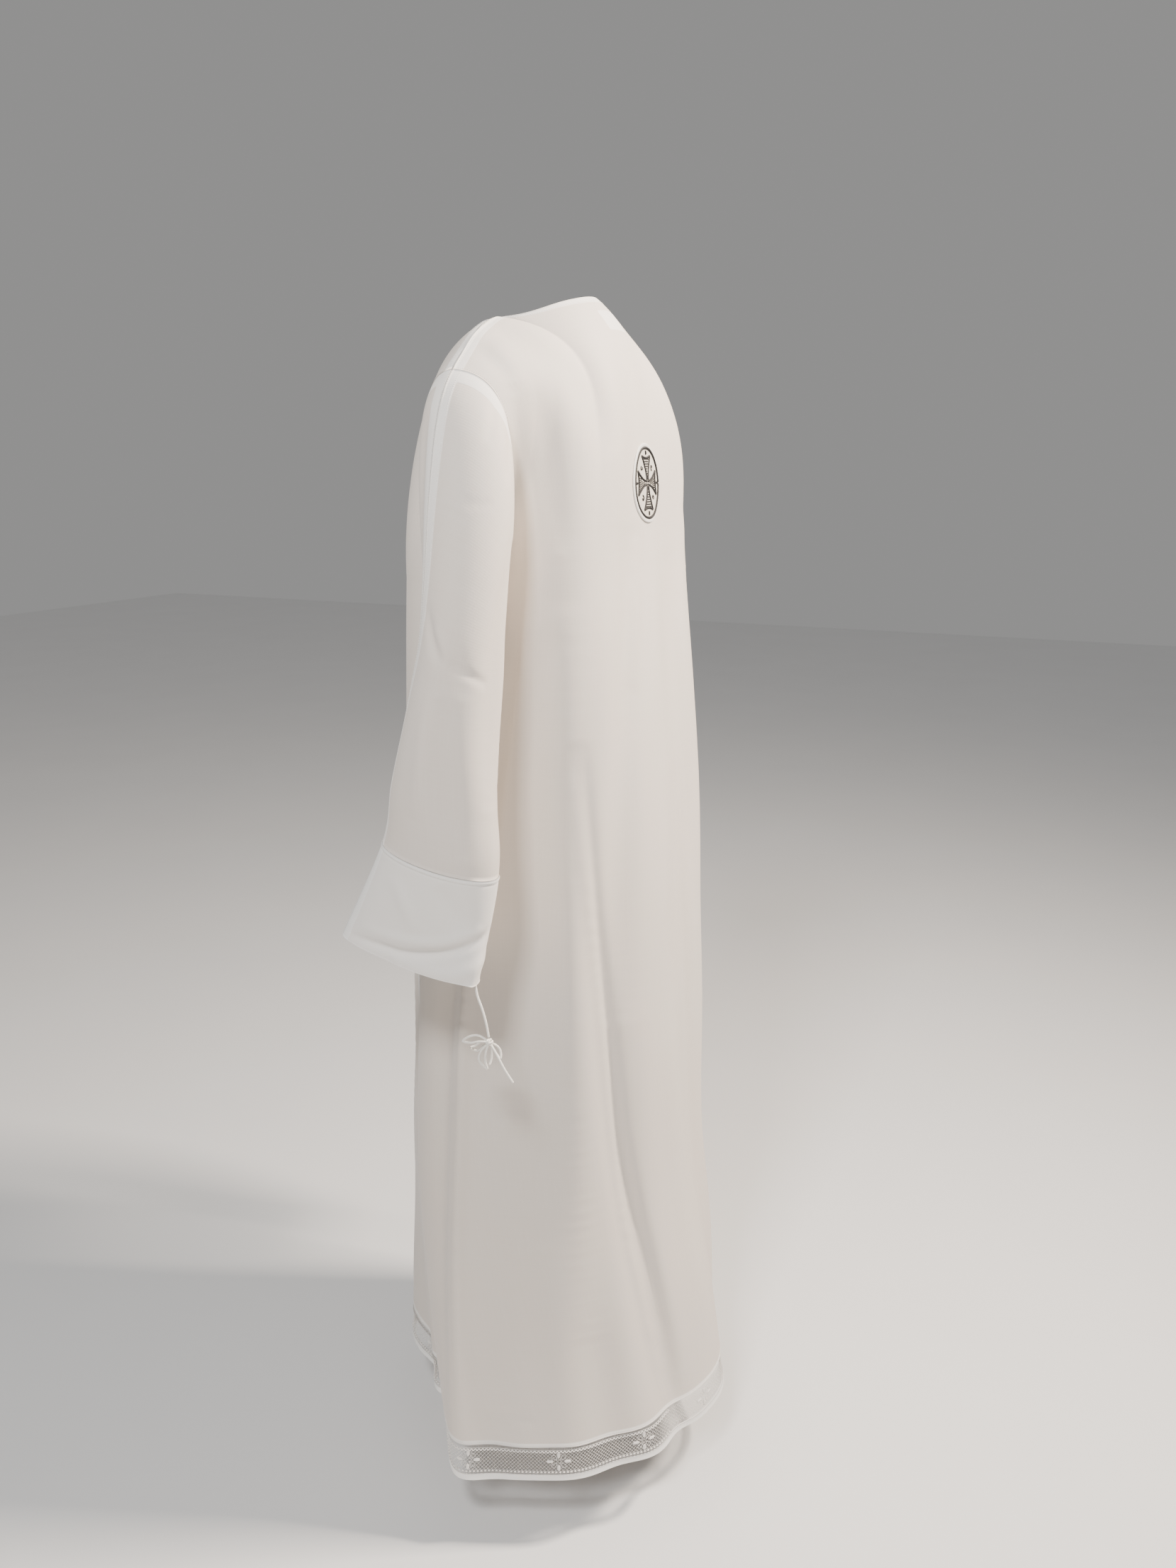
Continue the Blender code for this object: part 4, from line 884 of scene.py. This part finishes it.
# Cuffs: a deep ring of the cloth folded double and sewn on the end of the sleeve, so it is whiter
# and stiffer. Its upper edge stands out as a thin welt, and it is creased above its lower edge.
CUFF_PROUD = 0.0006
CUFF_THICKNESS = 0.0022
CUFF_VALLEY = [(0.9, 18.75), (2.0, 18.66), (3.0, 18.58), (4.3, 18.46)]
CUFF_VALLEY += [(6.1, 17.92), (7.1, 17.56), (8.0, 17.3), (9.2, 16.9)]
CUFF_CREASES = [
    (0.0052, -0.0052, 0, CUFF_VALLEY),
    (0.0110, 0.0048, 0, [(3.6, 19.0), (6.2, 18.8), (7.6, 18.4), (9.6, 17.9)]),
    (0.0060, 0.0020, 0, [(1.4, 18.2), (3.0, 18.1), (4.6, 17.9), (6.4, 17.4), (7.8, 16.8)]),
    (0.0120, -0.0022, 0, [(4.8, 15.6), (5.9, 16.5), (6.4, 17.2)]),
    (0.0100, 0.0018, 0, [(2.4, 15.8), (3.4, 16.6), (4.4, 17.6)]),
    (0.0100, -0.0020, 0, [(20.8, 15.8), (20.0, 16.8), (19.2, 18.4)]),
    (0.0040, -0.0018, 0, [(15.2, 18.6), (17.2, 18.5), (19.4, 18.7)]),
]
double_lawn = lawn_finish("double_lawn", 0.66)
cuff_columns = np.linspace(0, 24, 169)[:-1]
cuff_rows = np.linspace(15, 19, 61)
flat_cuff = sleeve_at(cuff_columns, cuff_rows)
wide_cuff = np.concatenate([flat_cuff[:, -2:], flat_cuff, flat_cuff[:, :2]], axis=1)
cuff_normals = normals_of(wide_cuff)[:, 2:-2]
cuff_spread = spread_of(flat_cuff, 84)
_, _, from_welt, from_foot = from_edges(flat_cuff)
welt_ridge = 0.0010 * np.exp(-(((from_welt - 0.0022) / 0.0016) ** 2))
welt_groove = 0.0006 * np.exp(-(((from_welt - 0.0052) / 0.0012) ** 2))
welt = welt_ridge - welt_groove
cuff_points = flat_cuff + cuff_normals * (CUFF_PROUD + welt)[..., None]
cuff_points = creased(cuff_points, cuff_normals, cuff_columns, cuff_rows, CUFF_CREASES)
wide_cuff = np.concatenate([cuff_points[:, -2:], cuff_points, cuff_points[:, :2]], axis=1)
cuff_normals = normals_of(wide_cuff)[:, 2:-2]
steps = np.linalg.norm(np.roll(flat_cuff, -1, axis=1) - flat_cuff, axis=-1)
from_overarm = np.cumsum(steps, axis=1) - steps
from_overarm = np.minimum(from_overarm, steps.sum(1, keepdims=True) - from_overarm)
facts = seam_facts([(from_overarm, 0.014), (from_welt, 0.005)], [from_overarm])
made = shell(cuff_points, cuff_normals, cuff_spread, CUFF_THICKNESS, facts, closed=True)
for side, flip in [("left", LEFT), ("right", RIGHT)]:
    points, faces, spread, held = made
    turned = faces if side == "left" else [face[::-1] for face in faces]
    cuff = sewn_piece(f"cuff_ring_{side}", points * flip, turned, spread, double_lawn, "cloth", held)
    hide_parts(f"cuff_{side}")


# Lace: a band of white bobbin-style net set in between the cloth and the hem. Its ground is a net of
# slanting threads, and on it lie crosses worked in close stitch with looped leaves between their arms.
# A ladder of fine threads joins it to the cloth, under a scalloped line, and a row of dashes ends it.
NET_CELL = 0.0048
NET_TOP_Z = LACE_TOP_Z - 0.0052
NET_FOOT_Z = LACE_FOOT_Z + 0.0042
NET_THREAD = 0.00024
LACE_DEPTH = 0.0008
CROSS_PITCH = 0.114
CROSS_START = 0.066
ring_angles = np.linspace(-180, 180, 3601)
ring = body_at(ring_angles, np.full(3601, (LACE_TOP_Z + LACE_FOOT_Z) / 2))
ring_lengths = lengths_along(ring)
ring_total = ring_lengths[-1]
HALVES = [("back", -32.0, 212.0), ("front", 212.0, 328.0)]


def on_lace(lengths, z, out=0.0):
    """Points of the lace at lengths round the hem and heights, moved out from its middle layer."""
    angles = np.interp(np.mod(lengths, ring_total), ring_lengths, ring_angles)
    points = body_at(angles, z)
    ahead_by = body_at(angles + 0.3, z) - body_at(angles - 0.3, z)
    way = np.stack([ahead_by[..., 1], -ahead_by[..., 0], np.zeros_like(ahead_by[..., 0])], axis=-1)
    way /= np.linalg.norm(way, axis=-1, keepdims=True)
    return points + way * (np.asarray(out)[..., None] - LACE_DEPTH)


def strands(paths, radius, sides):
    """Many threads of one length of points at once: a ring of sides round every point of each path."""
    way = np.gradient(paths, axis=1)
    way /= np.maximum(np.linalg.norm(way, axis=-1, keepdims=True), 1e-12)
    outwards = paths * [1, 1, 0]
    one = np.cross(way, outwards)
    one /= np.maximum(np.linalg.norm(one, axis=-1, keepdims=True), 1e-12)
    two = np.cross(way, one)
    angle = (2 * np.pi * np.arange(sides) / sides)[None, None, :, None]
    round_it = np.cos(angle) * one[:, :, None] + np.sin(angle) * two[:, :, None]
    ring_points = paths[:, :, None] + radius * round_it
    number, steps = paths.shape[:2]
    index = np.arange(number * steps * sides).reshape(number, steps, sides)
    after = np.roll(index, -1, axis=2)
    faces = np.stack([index[:, :-1], after[:, :-1], after[:, 1:], index[:, 1:]], -1).reshape(-1, 4).tolist()
    faces += index[:, 0, ::-1].tolist() + index[:, -1].tolist()
    spread = np.zeros((number * steps * sides, 2))
    spread[:, 0] = np.tile(np.repeat(np.arange(steps), sides), number) * NET_CELL / 4
    return ring_points.reshape(-1, 3), faces, spread


def half_of(lengths, half):
    """Which of several lengths round the hem lie on one half of the robe."""
    _, first, last = half
    angles = np.interp(np.mod(lengths, ring_total), ring_lengths, ring_angles)
    return (angles - first) % 360 < last - first


def lace_finish():
    """White cotton lace thread, a little greyer in a fine mottle that is painted shade for its hollows."""
    made, tree, shader, cloth_map = new_finish("lace_thread", 0.85, 0.2)
    place = node(tree, "ShaderNodeTexCoord").outputs["Object"]
    fuzz_and_shade = node(tree, "ShaderNodeTexNoise", Vector=place, Scale=900.0, Detail=2.0).outputs[0]
    # The grey end of this mix is painted shade. The same noise gives the thread its fuzzy bump.
    shade = mixed(tree, fuzz_and_shade, (0.74, 0.71, 0.68, 1), (0.90, 0.88, 0.85, 1))
    tree.links.new(shade, shader.inputs["Base Color"])
    bump = node(tree, "ShaderNodeBump", Strength=0.3, Distance=0.0002, Height=fuzz_and_shade)
    tree.links.new(bump.outputs[0], shader.inputs["Normal"])
    return made


def leaf_paths(middle_length, middle_z):
    """Outlines of the four looped leaves that stand between a cross's arms."""
    turn = np.linspace(0, 2 * np.pi, 15)
    paths = []
    for across_by, up_by in [(1, 1), (-1, 1), (-1, -1), (1, -1)]:
        along, wide = 0.0072 + 0.0045 * np.cos(turn), 0.0019 * np.sin(turn) * (1.2 + np.cos(turn))
        across_by_now = (along - wide) * across_by * 0.72
        paths.append(on_lace(middle_length + across_by_now, middle_z + (along + wide) * up_by * 0.72, 0.0002))
    return paths


def bar(middle_length, middle_z, across_by, up_by):
    """One close-stitched arm of a cross: a small padded bar that widens to its blunt outer end."""
    share, width = np.meshgrid(np.linspace(0, 1, 7), np.linspace(-1, 1, 7), indexing="ij")
    reach_out = (0.0053 + 0.0078 * share) * abs(up_by) + (0.0070 + 0.0086 * share) * abs(across_by)
    wide = width * (0.0018 + 0.0006 * share) * np.sqrt(np.clip(1.02 - (2 * share - 1) ** 6, 0, 1))
    lengths = middle_length + reach_out * across_by + wide * abs(up_by)
    z = middle_z + reach_out * up_by + wide * abs(across_by)
    swell = 0.0008 * np.sqrt(np.clip(1 - width**2, 0, 1)) + 0.0003
    top, foot = on_lace(lengths, z, swell), on_lace(lengths, z, -0.0003)
    index = np.arange(49).reshape(7, 7)
    rim = np.concatenate([index[0, :-1], index[:-1, -1], index[-1, :0:-1], index[:0:-1, 0]])
    outer = np.stack([index[:-1, :-1], index[1:, :-1], index[1:, 1:], index[:-1, 1:]], -1).reshape(-1, 4)
    if across_by - up_by > 0:
        outer = outer[:, ::-1]
    else:
        rim = rim[::-1]
    after = np.roll(rim, -1)
    sides = np.stack([rim, after, after + 49, rim + 49], -1)
    faces = np.concatenate([outer[:, ::-1], outer + 49, sides]).tolist()
    spread = np.stack([share.ravel() * 0.009, width.ravel() * 0.002], 1)
    return np.concatenate([top.reshape(-1, 3), foot.reshape(-1, 3)]), faces, np.tile(spread, (2, 1))


lace_thread = lace_finish()
cells = int(round(ring_total / NET_CELL))
net_height = NET_TOP_Z - NET_FOOT_Z
knots_at = np.arange(cells) * ring_total / cells
cross_count = round(ring_total / CROSS_PITCH)
crosses = np.arange(cross_count) * ring_total / cross_count + CROSS_START
lace_pieces = {}
for half in HALVES:
    parts = []
    here = knots_at[half_of(knots_at, half)]
    down = np.linspace(0, 1, 19)
    net_z = NET_TOP_Z - net_height * down[None] + np.zeros((len(here), 1))
    for slant in (1, -1):
        lengths = here[:, None] + slant * net_height * 0.92 * (down[None] - 0.5)
        wave = 0.00018 * slant * np.cos(2 * np.pi * down * net_height * 2 / NET_CELL)
        parts.append(strands(on_lace(lengths, net_z, wave[None]), NET_THREAD, 4))
    ladder = np.arange(here[0], here[0] + len(here) * ring_total / cells, 0.0013)
    rungs = np.linspace(LACE_TOP_Z + 0.0006, NET_TOP_Z, 3)[None] + np.zeros((len(ladder), 1))
    parts.append(strands(on_lace(ladder[:, None] + np.zeros((1, 3)), rungs), 0.00016, 3))
    foot_rungs = np.linspace(NET_FOOT_Z, LACE_FOOT_Z - 0.0006, 3)[None] + np.zeros((len(ladder), 1))
    parts.append(strands(on_lace(ladder[:, None] + np.zeros((1, 3)), foot_rungs), 0.00016, 3))
    run = np.linspace(here[0], here[0] + len(here) * ring_total / cells, len(here) * 8 + 1)
    teeth = np.abs(np.mod(run / (ring_total / cells), 1) * 2 - 1)
    scallop = NET_TOP_Z - 0.0027 * (1 - teeth)
    parts.append(strands(on_lace(run, scallop, 0.0004)[None], 0.00080, 5))
    straight = run[::2]
    edge_threads = [(NET_TOP_Z + 0.0007, 0.0004)]
    edge_threads += [(NET_FOOT_Z + 0.0010, 0.0002), (NET_FOOT_Z - 0.0022, 0.0002)]
    for z, radius in edge_threads:
        parts.append(strands(on_lace(straight, np.full_like(straight, z))[None], radius, 4))
    dashes = on_lace(run, np.full_like(run, NET_FOOT_Z - 0.0003), 0.0004)
    outwards = on_lace(run, np.full_like(run, NET_FOOT_Z), 0.01) - on_lace(run, np.full_like(run, NET_FOOT_Z))
    parts.append(stitch_run(dashes, outwards, 0.0033, ring_total / cells, 0.00140))
    for place in crosses[half_of(crosses, half)]:
        middle_z = (NET_TOP_Z + NET_FOOT_Z) / 2
        parts += [bar(place, middle_z, *way) for way in [(1, 0), (0, 1), (-1, 0), (0, -1)]]
        parts.append(strands(np.array(leaf_paths(place, middle_z)), 0.00028, 5))
    lace = sewn_piece(f"lace_net_{half[0]}", *joined(parts), lace_thread, "lace")
    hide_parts(f"hem_lace_{half[0]}")
    lace_pieces[half[0]] = lace


# Hem strip: the lowest edge of the robe, a narrow fold of the cloth that binds the foot of the lace.
# It is doubled, so it is white and firm, rounded at its lower edge and stitched close to the top.
strip_pieces = {}
for half in HALVES:
    name, first, last = half
    strip_angles = np.linspace(first, last, 361 if name == "back" else 181)
    strip_rows = np.linspace(0, 1, 9)
    strip_z = (LACE_FOOT_Z + (HEM_Z - LACE_FOOT_Z) * strip_rows)[:, None]
    points = body_at(strip_angles[None] + 0 * strip_z, strip_z + 0 * strip_angles[None])
    normals = normals_of(points)
    swell = 0.0005 * np.exp(-(((strip_rows - 0.86) / 0.13) ** 2))
    swell = swell + 0.0002 * np.exp(-(((strip_rows - 0.08) / 0.1) ** 2))
    points = points + normals * swell[:, None, None]
    spread = spread_of(points, len(strip_angles) // 2)
    *solid, held = shell(points, normals, spread, 0.0014, all_double(points))
    strip = sewn_piece(f"hem_binding_{name}", *solid, double_lawn, "cloth", held)
    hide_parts(f"hem_strip_{name}")
    strip_pieces[name] = strip


# Neck facing: a narrow strip turned in and stitched inside each part of the neckline.
FACING_WIDTH = 0.009
facings = {}
for name, panel, first, last in [
    ("back", back_panel, 14.4, 31.6),
    ("front_right", front_panel, 7.4, 13.4),
    ("front_left", front_panel, 14.6, 20.6),
]:
    columns = np.linspace(first, last, 81 if name == "back" else 41)
    cloth_above = panel.at(columns, np.linspace(0, 3, 121))
    normals = normals_of(cloth_above)
    depth = from_edges(cloth_above)[2]
    turned_in = np.linspace(0.0008, FACING_WIDTH, 9)
    points = np.empty((9, len(columns), 3))
    ways = np.empty_like(points)
    for axis in range(3):
        for c in range(len(columns)):
            points[:, c, axis] = np.interp(turned_in, depth[:, c], cloth_above[:, c, axis])
            ways[:, c, axis] = np.interp(turned_in, depth[:, c], normals[:, c, axis])
    points = points - ways * 0.0026
    spread = spread_of(points, len(columns) // 2)
    *solid, held = shell(points, ways, spread, 0.0006, all_double(points))
    facing = sewn_piece(f"facing_{name}", *solid, double_lawn, "cloth", held)
    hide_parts(f"neck_facing_{name}")
    facings[name] = facing


# Emblem: a round machine-embroidered patch on the middle of the upper back. White satin stitch
# edges it, a charcoal line runs inside that, and a textbook cross pattee fills its cream field.
EMBLEM_RADIUS = 0.0445
EMBLEM_ROW, EMBLEM_COLUMN = 8.4, 22.1
EMBLEM_LIFT = 0.0020
FIELD_RADIUS, EDGE_RADIUS, SATIN_RADIUS = 0.0402, 0.0404, 0.0406
SATIN_MIDDLE, SATIN_HALF = 0.0425, 0.0022
RING_RADIUS = 0.0392
ARM_ROOT, ARM_FLARE, ARM_FOOT, ARM_LENGTH = 0.0021, 0.0119, 0.0030, 0.0275


def on_patch(places):
    """Points and normals of the back at places right of and over the patch's middle, in metres."""
    columns = EMBLEM_COLUMN + np.linspace(-4, 4, 33)
    rows = EMBLEM_ROW + np.linspace(-2.6, 2.6, 33)
    cloth_here = back_panel.at(columns, rows)
    normals = normals_of(cloth_here)
    middle = cloth_here[16, 16]
    by_column = (cloth_here[16, 17] - cloth_here[16, 15]) / (columns[17] - columns[15])
    by_row = (cloth_here[17, 16] - cloth_here[15, 16]) / (rows[17] - rows[15])
    at_column = 16 + places[..., 0] / np.linalg.norm(by_column) / (columns[1] - columns[0])
    at_row = 16 - places[..., 1] / np.linalg.norm(by_row) / (rows[1] - rows[0])
    found = [on_grid(grid, at_row, at_column) for grid in (cloth_here, normals)]
    found[1] /= np.linalg.norm(found[1], axis=-1, keepdims=True)
    return found


def patch_finish(name, dark, pale, scale, sheen=0.25):
    """Embroidery thread: fine glossy lines that run across the stitched shape, and a little fuzz."""
    made, tree, shader, cloth_map = new_finish(name, 0.5, sheen)
    settings = {"wave_type": "BANDS", "bands_direction": "X"}
    wave = node(
        tree, "ShaderNodeTexWave", settings, Vector=cloth_map, Scale=scale, Distortion=1.2, Detail=2.0
    )
    lines = wave.outputs[1]
    shade = mixed(tree, lines, dark, pale)
    tree.links.new(shade, shader.inputs["Base Color"])
    bump = node(tree, "ShaderNodeBump", Strength=0.5, Distance=0.0003, Height=lines)
    tree.links.new(bump.outputs[0], shader.inputs["Normal"])
    return made


cream_thread = patch_finish("cream_thread", (0.72, 0.68, 0.60, 1), (0.84, 0.80, 0.73, 1), 260.0)
white_thread = patch_finish("white_thread", (0.80, 0.79, 0.76, 1), (0.93, 0.92, 0.90, 1), 330.0)
charcoal_thread = patch_finish(
    "charcoal_thread", (0.010, 0.010, 0.011, 1), (0.040, 0.038, 0.039, 1), 420.0, sheen=0.0
)
field_rings, edge_rings = np.linspace(0.0004, FIELD_RADIUS, 16), np.linspace(EDGE_RADIUS, EMBLEM_RADIUS, 14)
rings_out = np.concatenate([field_rings, edge_rings])
round_it = np.linspace(0, 2 * np.pi, 241)[:-1]
radius, angle = np.meshgrid(rings_out, round_it, indexing="ij")
places = np.stack([radius * np.cos(angle), radius * np.sin(angle)], -1)
cloth_under, ways = on_patch(places)
in_edge = (radius > SATIN_RADIUS).astype(float)
crown = np.sqrt(np.clip(1 - ((radius - SATIN_MIDDLE) / SATIN_HALF) ** 2, 0, 1))
satin = 0.5 + 0.5 * np.cos(angle * 80)
height = 0.0006 + in_edge * (0.0009 * crown * (0.93 + 0.07 * satin)) - 0.0002 * (radius > 0.0440)
patch_points = cloth_under + ways * (EMBLEM_LIFT - 0.0014 + height)[..., None]
base = cloth_under + ways * 0.0004
index = np.arange(radius.size).reshape(radius.shape)
index = np.concatenate([index, index[:, :1]], axis=1)
upper = np.stack([index[:-1, :-1], index[1:, :-1], index[1:, 1:], index[:-1, 1:]], -1).reshape(-1, 4)
outer, inner = index[-1, :-1], index[-1, 1:]
rim = np.stack([outer, outer + radius.size, inner + radius.size, inner], -1)
faces = [*upper.tolist(), *(upper[:, ::-1] + radius.size).tolist(), *rim.tolist()]
faces += [index[0, :-1].tolist(), (index[0, -2::-1] + radius.size).tolist()]
spread = np.stack([places[..., 0], places[..., 1]], -1).reshape(-1, 2)
spread_edge = np.stack([angle * 0.042, radius], -1).reshape(-1, 2)
spread = np.where((radius.ravel() > SATIN_RADIUS)[:, None], spread_edge, spread)
points = np.concatenate([patch_points.reshape(-1, 3), base.reshape(-1, 3)])
patch = sewn_piece("embroidered_patch", points, faces, np.tile(spread, (2, 1)), cream_thread, "emblem")
patch.data.materials.append(white_thread)
on_edge = np.zeros(len(patch.data.polygons), np.int32)
edge_quads = np.repeat(rings_out[:-1] >= EDGE_RADIUS, 240)
on_edge[: len(edge_quads)] = edge_quads
on_edge[2 * len(edge_quads) :] = 1
on_edge[-2:] = 0
patch.data.polygons.foreach_set("material_index", on_edge)
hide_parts("emblem")


def thread_line(places, radius, height=0.00125):
    """An embroidered line: a cord through places on the patch, half sunk in its field."""
    places = np.array(places, float)
    cloth_below, way = on_patch(places)
    return cord_tube(cloth_below + way * height, radius, 6, 0.0011, 2, 0.0016)


def turned(places, quarter):
    """Places turned about the patch's middle by quarters of a turn."""
    turn = quarter * np.pi / 2
    c, s = math.cos(turn), math.sin(turn)
    return [(x * c - y * s, x * s + y * c) for x, y in places]


def arm_wide(share):
    """Half the width of an arm of the cross at a share of its length: root + flare * share^1.7."""
    return ARM_ROOT + ARM_FLARE * share**1.7


# One arm of the cross, upright: two sides that curve apart as they rise, and a hollow outer end.
arm_side = [(arm_wide(s), ARM_FOOT + ARM_LENGTH * s) for s in np.linspace(0, 1, 22)]
arm_end = [(x, 0.0305 - 0.0026 * (1 - (x / 0.0140) ** 2)) for x in np.linspace(-0.0140, 0.0140, 24)]
circle = np.linspace(0, 2 * np.pi, 181)
ring = RING_RADIUS * np.stack([np.cos(circle), np.sin(circle)], 1)
lines = [thread_line(ring, 0.00165)]
for quarter in range(4):
    for way in (1, -1):
        lines.append(thread_line(turned([(x * way, y) for x, y in arm_side], quarter), 0.00130))
    lines.append(thread_line(turned(arm_end, quarter), 0.00130))
    for level_up in np.arange(0.0075, 0.0265, 0.0027):
        half_wide = arm_wide((level_up - ARM_FOOT) / ARM_LENGTH) - 0.0016
        for start in np.arange(-half_wide, half_wide - 0.0012, 0.0021):
            tick = [(start, level_up - 0.0007), (min(start + 0.0014, half_wide), level_up + 0.0009)]
            lines.append(thread_line(turned(np.linspace(*tick, 4), quarter), 0.00070, 0.00120))
    turns = np.linspace(0, 5.4, 14)
    ring_dot = [(0.0165 + 0.0019 * math.cos(t), 0.0165 + 0.0028 * math.sin(t)) for t in turns]
    lines.append(thread_line(turned(ring_dot, quarter), 0.00095))
    lines.append(thread_line(turned([(0, 0.0312), (0, 0.0338), (0, 0.0364)], quarter), 0.00155))
hub = [(0.0024 * math.cos(t), 0.0024 * math.sin(t)) for t in np.linspace(0, 2 * np.pi, 16)]
lines.append(thread_line(hub, 0.00070))
cross_lines = sewn_piece("embroidered_cross", *joined(lines), charcoal_thread, "emblem")


# Label: a small blank woven ribbon, sewn by its top edge inside the nape.
LABEL_COLUMNS, LABEL_ROWS = (21.5, 24.5), (0.9, 2.0)
label_cloth = back_panel.at(np.linspace(*LABEL_COLUMNS, 41), np.linspace(*LABEL_ROWS, 31))
label_ways = normals_of(label_cloth)
label_points = label_cloth - label_ways * 0.0024
label_spread = spread_of(label_points, 20)
*solid, held = shell(label_points, label_ways, label_spread, 0.0006, all_double(label_points))
ribbon = patch_finish("woven_ribbon", (0.82, 0.82, 0.80, 1), (0.93, 0.93, 0.92, 1), 520.0)
label = sewn_piece("blank_label", *solid, ribbon, "label", held)
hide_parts("label")


# Stitching: white thread on the seams that show. It holds the neckline, the shoulder and overarm seams, the
# side seams and armholes, the cuffs' welts and the foot of the cloth above the lace, in rows of short even
# stitches.
STITCH, STITCH_PITCH, STITCH_RADIUS = 0.0021, 0.0027, 0.00022


def beside_edge(points, normals, axis, edge, distance):
    """The line at a distance from an edge of a grid, and the grid's normals there."""
    grid, ways = (points, normals) if axis == 1 else (points.transpose(1, 0, 2), normals.transpose(1, 0, 2))
    if edge:
        grid, ways = grid[:, ::-1], ways[:, ::-1]
    steps = np.linalg.norm(np.diff(grid, axis=1), axis=-1)
    along = np.concatenate([np.zeros((len(grid), 1)), np.cumsum(steps, axis=1)], axis=1)
    at = np.array([np.interp(distance, row, np.arange(grid.shape[1])) for row in along])
    low = np.clip(at.astype(int), 0, grid.shape[1] - 2)
    share = (at - low)[:, None]
    lines = np.arange(len(grid))
    return tuple(g[lines, low] * (1 - share) + g[lines, low + 1] * share for g in (grid, ways))


def row_of_stitches(line, ways, keep=slice(None)):
    """Stitches along part of a line."""
    return stitch_run(line[keep] + ways[keep] * 0.00005, ways[keep], STITCH, STITCH_PITCH, STITCH_RADIUS)


neck = slice(66, 145)
top_line = beside_edge(back_points, back_normals, 0, 0, 0.0075)
seams = {"back": [row_of_stitches(*top_line, neck)]}
for keep in (slice(2, 62), slice(148, 178)):
    seams["back"].append(row_of_stitches(*beside_edge(back_points, back_normals, 0, 0, 0.0030), keep))
foot_line = beside_edge(back_points, back_normals, 0, 1, 0.0035)
seams["back"].append(row_of_stitches(*foot_line))
for edge in (0, 1):
    arm_line = beside_edge(back_points, back_normals, 1, edge, 0.0022)
    seams["back"].append(row_of_stitches(*arm_line, slice(1, 250)))
neck_front = (slice(30, 55), slice(58, 83))
for keep in neck_front:
    seams["back"].append(row_of_stitches(*beside_edge(front_points, front_normals, 0, 0, 0.0075), keep))
seams["back"].append(row_of_stitches(*beside_edge(front_points, front_normals, 0, 1, 0.0035)))
body_stitches = sewn_piece("body_stitches", *joined(seams["back"]), sewing_thread, "cord")
for side, flip in [("left", LEFT), ("right", RIGHT)]:
    runs = []
    for half_points, half_ways, edge in [
        (sleeve_points[:, :85], sleeve_normals[:, :85], 0),
        (sleeve_points[:, 84:], sleeve_normals[:, 84:], 1),
    ]:
        runs.append(beside_edge(half_points, half_ways, 1, edge, 0.0016))
        if edge == 0:
            runs.append(beside_edge(half_points, half_ways, 1, edge, 0.0105))
    runs.append(beside_edge(cuff_points, cuff_normals, 0, 0, 0.0046))
    made = [row_of_stitches(line * flip, ways * flip) for line, ways in runs]
    stitches = sewn_piece(f"sleeve_stitches_{side}", *joined(made), sewing_thread, "cord")
# The pieces sewn on the back panel, gathered in one list.
on_back = [lace_pieces["back"], strip_pieces["back"], facings["back"]]
on_back += [patch, cross_lines, label, body_stitches]


# Floor and light: a plain pale floor under the hem, a warm soft light above and behind the robe, a
# weaker one on its left, and pale light all round.
FLOOR_Z = -1.530


def floor_finish():
    """Pale matt floor with a faint mottle."""
    made = bpy.data.materials.new("pale_floor")
    made.use_nodes = True
    tree, shader = made.node_tree, made.node_tree.nodes["Principled BSDF"]
    place = node(tree, "ShaderNodeTexCoord").outputs["Object"]
    mottle = node(tree, "ShaderNodeTexNoise", Vector=place, Scale=3.0, Detail=3.0).outputs[0]
    shade = mixed(tree, mottle, (0.86, 0.86, 0.86, 1), (0.90, 0.90, 0.90, 1))
    tree.links.new(shade, shader.inputs["Base Color"])
    shader.inputs["Roughness"].default_value = 0.9
    return made


reach = 9.0
mesh = bpy.data.meshes.new("floor")
corners = [(x * reach, y * reach, FLOOR_Z) for x, y in [(-1, -1), (1, -1), (1, 1), (-1, 1)]]
mesh.from_pydata(corners, [], [(0, 1, 2, 3)])
mesh.materials.append(floor_finish())
floor = bpy.data.objects.new("floor", mesh)
bpy.context.scene.collection.objects.link(floor)

world = bpy.context.scene.world or bpy.data.worlds.new("studio")
bpy.context.scene.world = world
world.use_nodes = True
backdrop = world.node_tree.nodes["Background"]
backdrop.inputs["Color"].default_value = (1.0, 0.99, 0.98, 1)
backdrop.inputs["Strength"].default_value = 0.30


def soft_light(name, place, aim, size, power, colour):
    """A square area light at a place, turned to face another."""
    light = bpy.data.lights.new(name, "AREA")
    light.size, light.energy, light.color = size, power, colour
    lamp = bpy.data.objects.new(name, light)
    away = np.array(place) - np.array(aim)
    away /= np.linalg.norm(away)
    side = np.cross((0, 0, 1), away)
    side /= np.linalg.norm(side)
    turn = np.stack([side, np.cross(away, side), away], axis=1)
    lamp.matrix_world = Matrix.Translation(place) @ Matrix(turn.tolist()).to_4x4()
    bpy.context.scene.collection.objects.link(lamp)


soft_light("key", (-0.45, 1.35, 1.00), (0.05, 0.05, -0.35), 0.30, 135, (1.0, 0.87, 0.74))
soft_light("side", (1.75, 0.25, 1.15), (0.15, 0, -0.35), 0.4, 55, (1.0, 0.98, 0.96))
